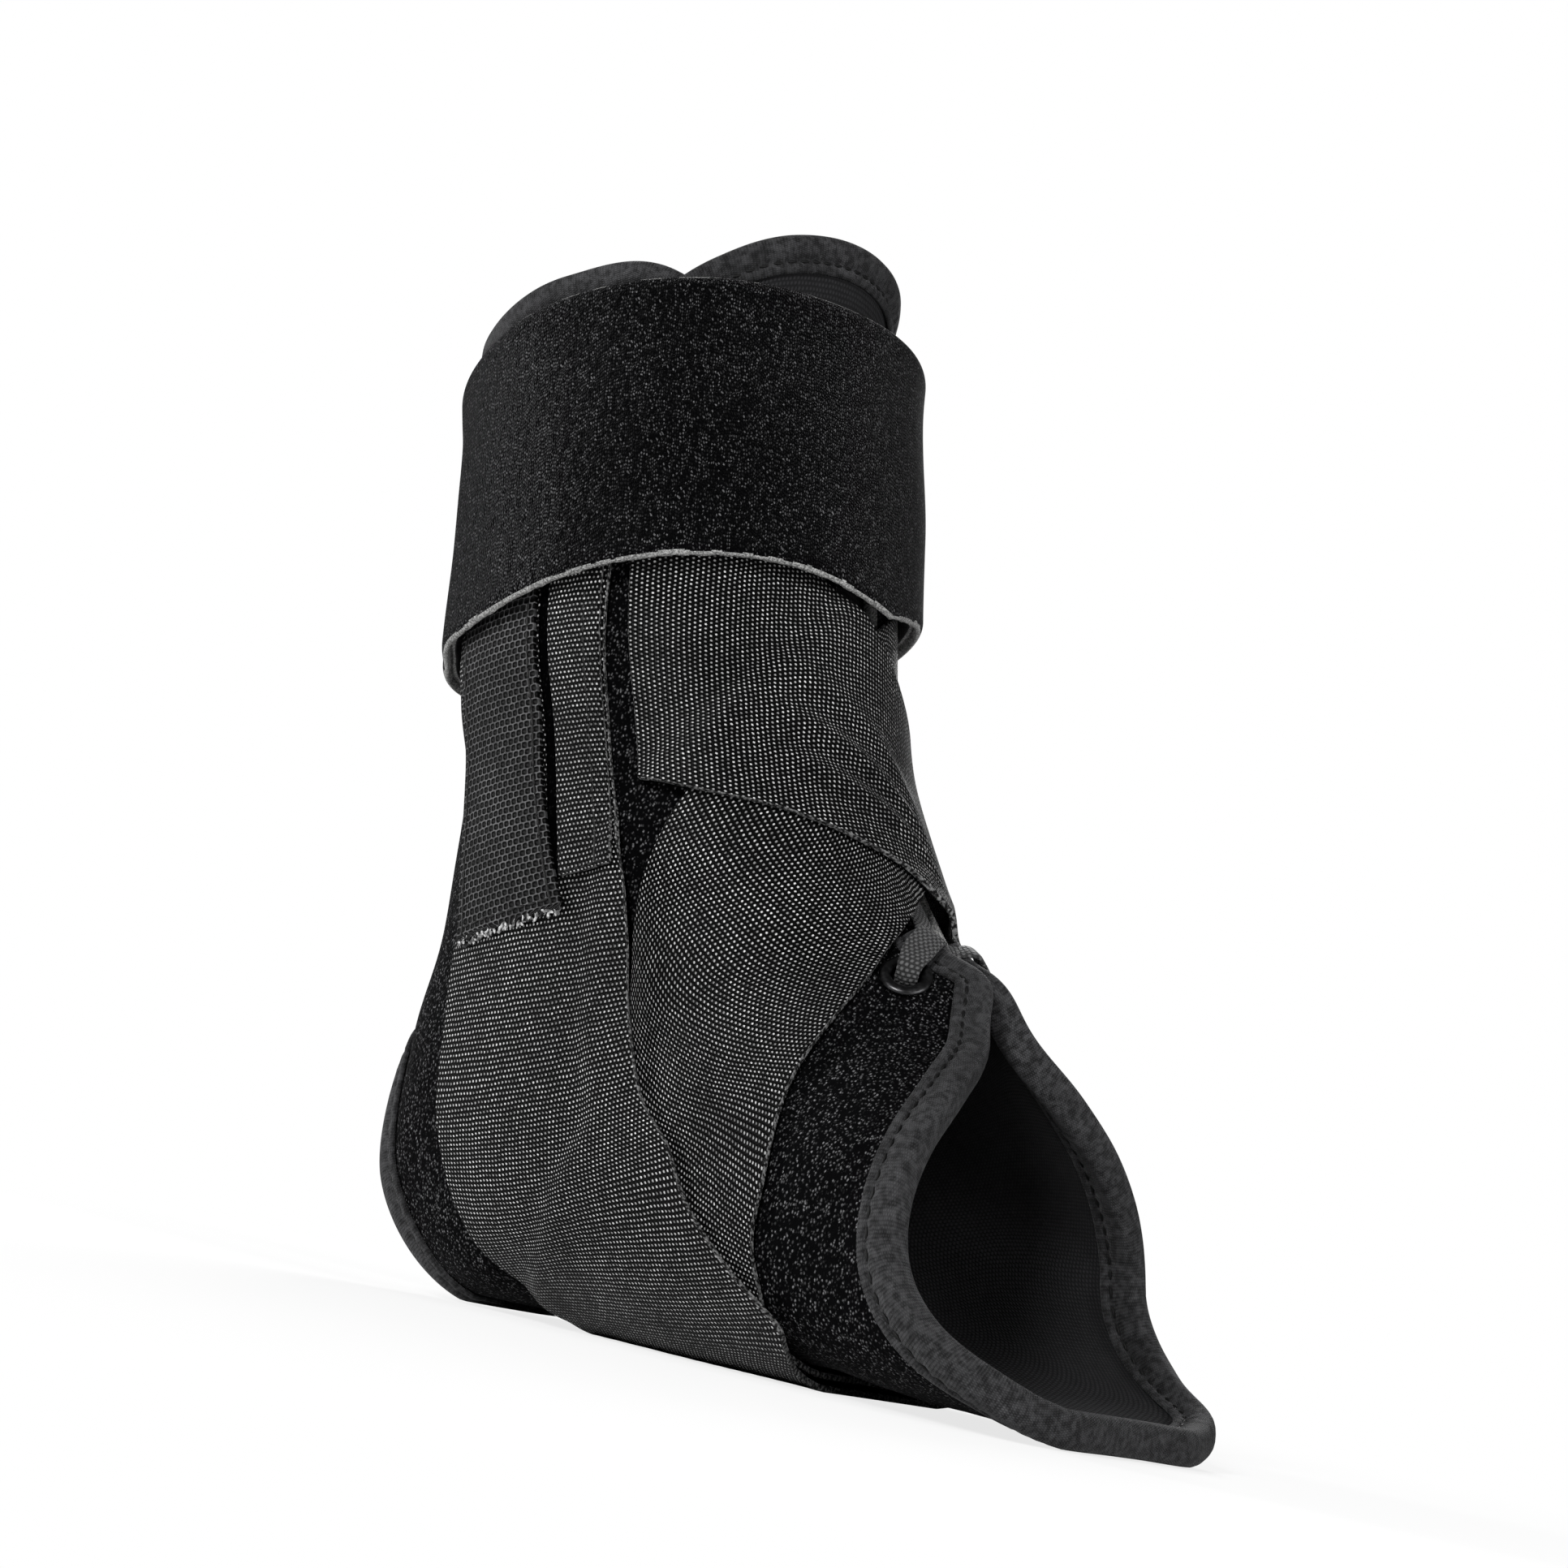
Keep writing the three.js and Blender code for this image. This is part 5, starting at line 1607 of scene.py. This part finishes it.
class BRACE_OT_eyelets(Operator):
    """Make the two rolled metal eyelets"""

    bl_idname = "brace.eyelets"
    bl_label = "Eyelets"

    def execute(self, context):
        bore = EYELET_BORE / 2
        barrel = bore + EYELET_WALL
        flange = barrel + EYELET_FLANGE
        for side, word in ((1, "right"), (-1, "left")):
            station = np.array([EYELET[0]])
            turn = np.array([EYELET[1] * side])
            up = Vector(outward(station, turn)[0])
            point = Vector(to_frame(skin(station, turn))[0])
            profile = [(bore, CLEARANCE - SHELL_WALL), (barrel, CLEARANCE - SHELL_WALL), (barrel, CLEARANCE)]
            roll_middle = (barrel + flange - EYELET_WALL) / 2
            roll_half = (flange - bore) / 2
            for angle in np.radians(np.linspace(-20, 200, 12)):
                rise = EYELET_RISE * max(math.sin(angle), 0.02)
                profile.append((roll_middle + roll_half * math.cos(angle), CLEARANCE + rise))
            bm = bmesh.new()
            verts = [bm.verts.new((x * MM, 0, z * MM)) for x, z in profile]
            edges = [bm.edges.new(pair) for pair in zip(verts, verts[1:] + verts[:1])]
            bmesh.ops.spin(
                bm, geom=verts + edges, cent=(0, 0, 0), axis=(0, 0, 1), angle=2 * math.pi, steps=48,
                use_merge=True,
            )
            bmesh.ops.remove_doubles(bm, verts=bm.verts, dist=1e-7)
            bmesh.ops.recalc_face_normals(bm, faces=bm.faces)
            turn_up = up.to_track_quat("Z", "Y").to_matrix().to_4x4()
            bmesh.ops.transform(bm, matrix=Matrix.Translation(point) @ turn_up, verts=bm.verts)
            finish_piece(bm, f"metal_eyelet_{word}", ["eyelet"], [f"eyelet_{word}"])
        return {"FINISHED"}


# The lamps' names, places, widths and powers, and the point that they are turned to
LIGHTS = (
    ("Key", (0.2, -0.95, 0.5), 0.3, 9.5),
    ("Side", (-0.9, -0.45, 0.3), 0.25, 6.5),
    ("Front", (0.95, -0.15, 0.3), 0.3, 5.0),
    ("Back", (-0.5, 0.85, 0.6), 0.4, 9.0),
)
LIT_POINT = (0, 0, 0.1)


def area_light(name, place, size, power):
    """A soft round lamp turned to the middle of the brace."""
    light = bpy.data.lights.new(name, "AREA")
    light.shape = "DISK"
    light.size = size
    light.energy = power
    lamp = bpy.data.objects.new(name, light)
    bpy.context.scene.collection.objects.link(lamp)
    lamp.location = place
    lamp.rotation_euler = (Vector(LIT_POINT) - Vector(place)).to_track_quat("-Z", "Y").to_euler()


def floor_material():
    """A pale floor that fades into the studio's own white away from the brace."""
    material = bpy.data.materials.new("Studio floor")
    material.use_nodes = True
    tree = material.node_tree
    shader = tree.nodes["Principled BSDF"]
    shader.inputs["Base Color"].default_value = (0.86, 0.86, 0.86, 1)
    shader.inputs["Roughness"].default_value = 0.9
    shader.inputs["Specular IOR Level"].default_value = 0.1
    place = object_place(tree)
    distance = node(tree, "ShaderNodeVectorMath", {0: place}, operation="LENGTH").outputs["Value"]
    seen = node(tree, "ShaderNodeLightPath").outputs["Is Camera Ray"]
    fade = maths(tree, "MULTIPLY", span(tree, distance, 0.1, 0.36, 0.78, 1.0), seen)
    glow = node(tree, "ShaderNodeEmission", {"Color": (1, 1, 1, 1), "Strength": 1.0})
    both = node(tree, "ShaderNodeMixShader", {0: fade, 1: shader.outputs[0], 2: glow.outputs[0]})
    output = tree.nodes["Material Output"]
    tree.links.new(both.outputs[0], output.inputs["Surface"])
    return material


class BRACE_OT_stage(Operator):
    """Make the camera, the soft studio light and the pale floor"""

    bl_idname = "brace.stage"
    bl_label = "Stage"

    def execute(self, context):
        stage = context.scene.brace_stage
        camera = bpy.data.cameras.new("Camera")
        camera.lens = stage.lens
        camera.sensor_width = 36
        camera.shift_x, camera.shift_y = stage.shift
        camera.clip_start = 0.01
        holder = bpy.data.objects.new("Camera", camera)
        context.scene.collection.objects.link(holder)
        context.scene.camera = holder
        aim = Vector(stage.aim) + Vector(SHIFT) * MM
        azimuth, elevation = stage.azimuth, stage.elevation
        back = Vector((
            math.sin(azimuth) * math.cos(elevation),
            -math.cos(azimuth) * math.cos(elevation),
            math.sin(elevation),
        ))
        holder.rotation_mode = "QUATERNION"
        level = (-back).to_track_quat("-Z", "Y")
        holder.rotation_quaternion = (level.to_matrix() @ Matrix.Rotation(stage.roll, 3, "Z")).to_quaternion()
        holder.location = aim + back * stage.distance

        bm = bmesh.new()
        bmesh.ops.create_circle(bm, cap_ends=True, segments=stage.sides, radius=stage.floor_radius)
        mesh = bpy.data.meshes.new("floor")
        bm.to_mesh(mesh)
        bm.free()
        mesh.materials.append(floor_material())
        floor = bpy.data.objects.new("floor", mesh)
        context.scene.collection.objects.link(floor)

        world = bpy.data.worlds.new("Studio")
        world.use_nodes = True
        sky = world.node_tree.nodes["Background"]
        sky.inputs["Color"].default_value = (1, 1, 1, 1)
        path = node(world.node_tree, "ShaderNodeLightPath")
        seen = maths(world.node_tree, "MULTIPLY_ADD", path.outputs["Is Camera Ray"], 0.86, 0.14)
        world.node_tree.links.new(seen, sky.inputs["Strength"])
        context.scene.world = world
        context.scene.view_settings.view_transform = "Standard"

        for light in LIGHTS:
            area_light(*light)
        return {"FINISHED"}


PIECES = (
    BRACE_OT_shell,
    BRACE_OT_bindings,
    BRACE_OT_tongue,
    BRACE_OT_cuff,
    BRACE_OT_straps,
    BRACE_OT_hook_tapes,
    BRACE_OT_laces,
    BRACE_OT_eyelets,
    BRACE_OT_stage,
)


class BRACE_PT_sidebar(Panel):
    """Lists the brace's pieces and settings"""

    bl_idname = "BRACE_PT_sidebar"
    bl_label = "Ankle brace"
    bl_space_type = "VIEW_3D"
    bl_region_type = "UI"
    bl_category = "Brace"

    def draw(self, context):
        for piece in PIECES:
            self.layout.operator(piece.bl_idname)
        for group in (context.scene.brace_sizes, context.scene.brace_colours, context.scene.brace_stage):
            column = self.layout.column(align=True)
            for name in group.__annotations__:
                column.prop(group, name)


CLASSES = (BraceSizes, BraceColours, StageSettings, *PIECES, BRACE_PT_sidebar)


def register():
    for item in CLASSES:
        bpy.utils.register_class(item)
    bpy.types.Scene.brace_sizes = PointerProperty(type=BraceSizes)
    bpy.types.Scene.brace_colours = PointerProperty(type=BraceColours)
    bpy.types.Scene.brace_stage = PointerProperty(type=StageSettings)


def unregister():
    del bpy.types.Scene.brace_stage
    del bpy.types.Scene.brace_colours
    del bpy.types.Scene.brace_sizes
    for item in reversed(CLASSES):
        bpy.utils.unregister_class(item)


def main():
    """Makes every piece and the stage."""
    register()
    bpy.ops.brace.shell()
    bpy.ops.brace.bindings()
    bpy.ops.brace.tongue()
    bpy.ops.brace.cuff()
    bpy.ops.brace.straps()
    bpy.ops.brace.hook_tapes()
    bpy.ops.brace.laces()
    bpy.ops.brace.eyelets()
    bpy.ops.brace.stage()


if __name__ == "__main__":
    main()
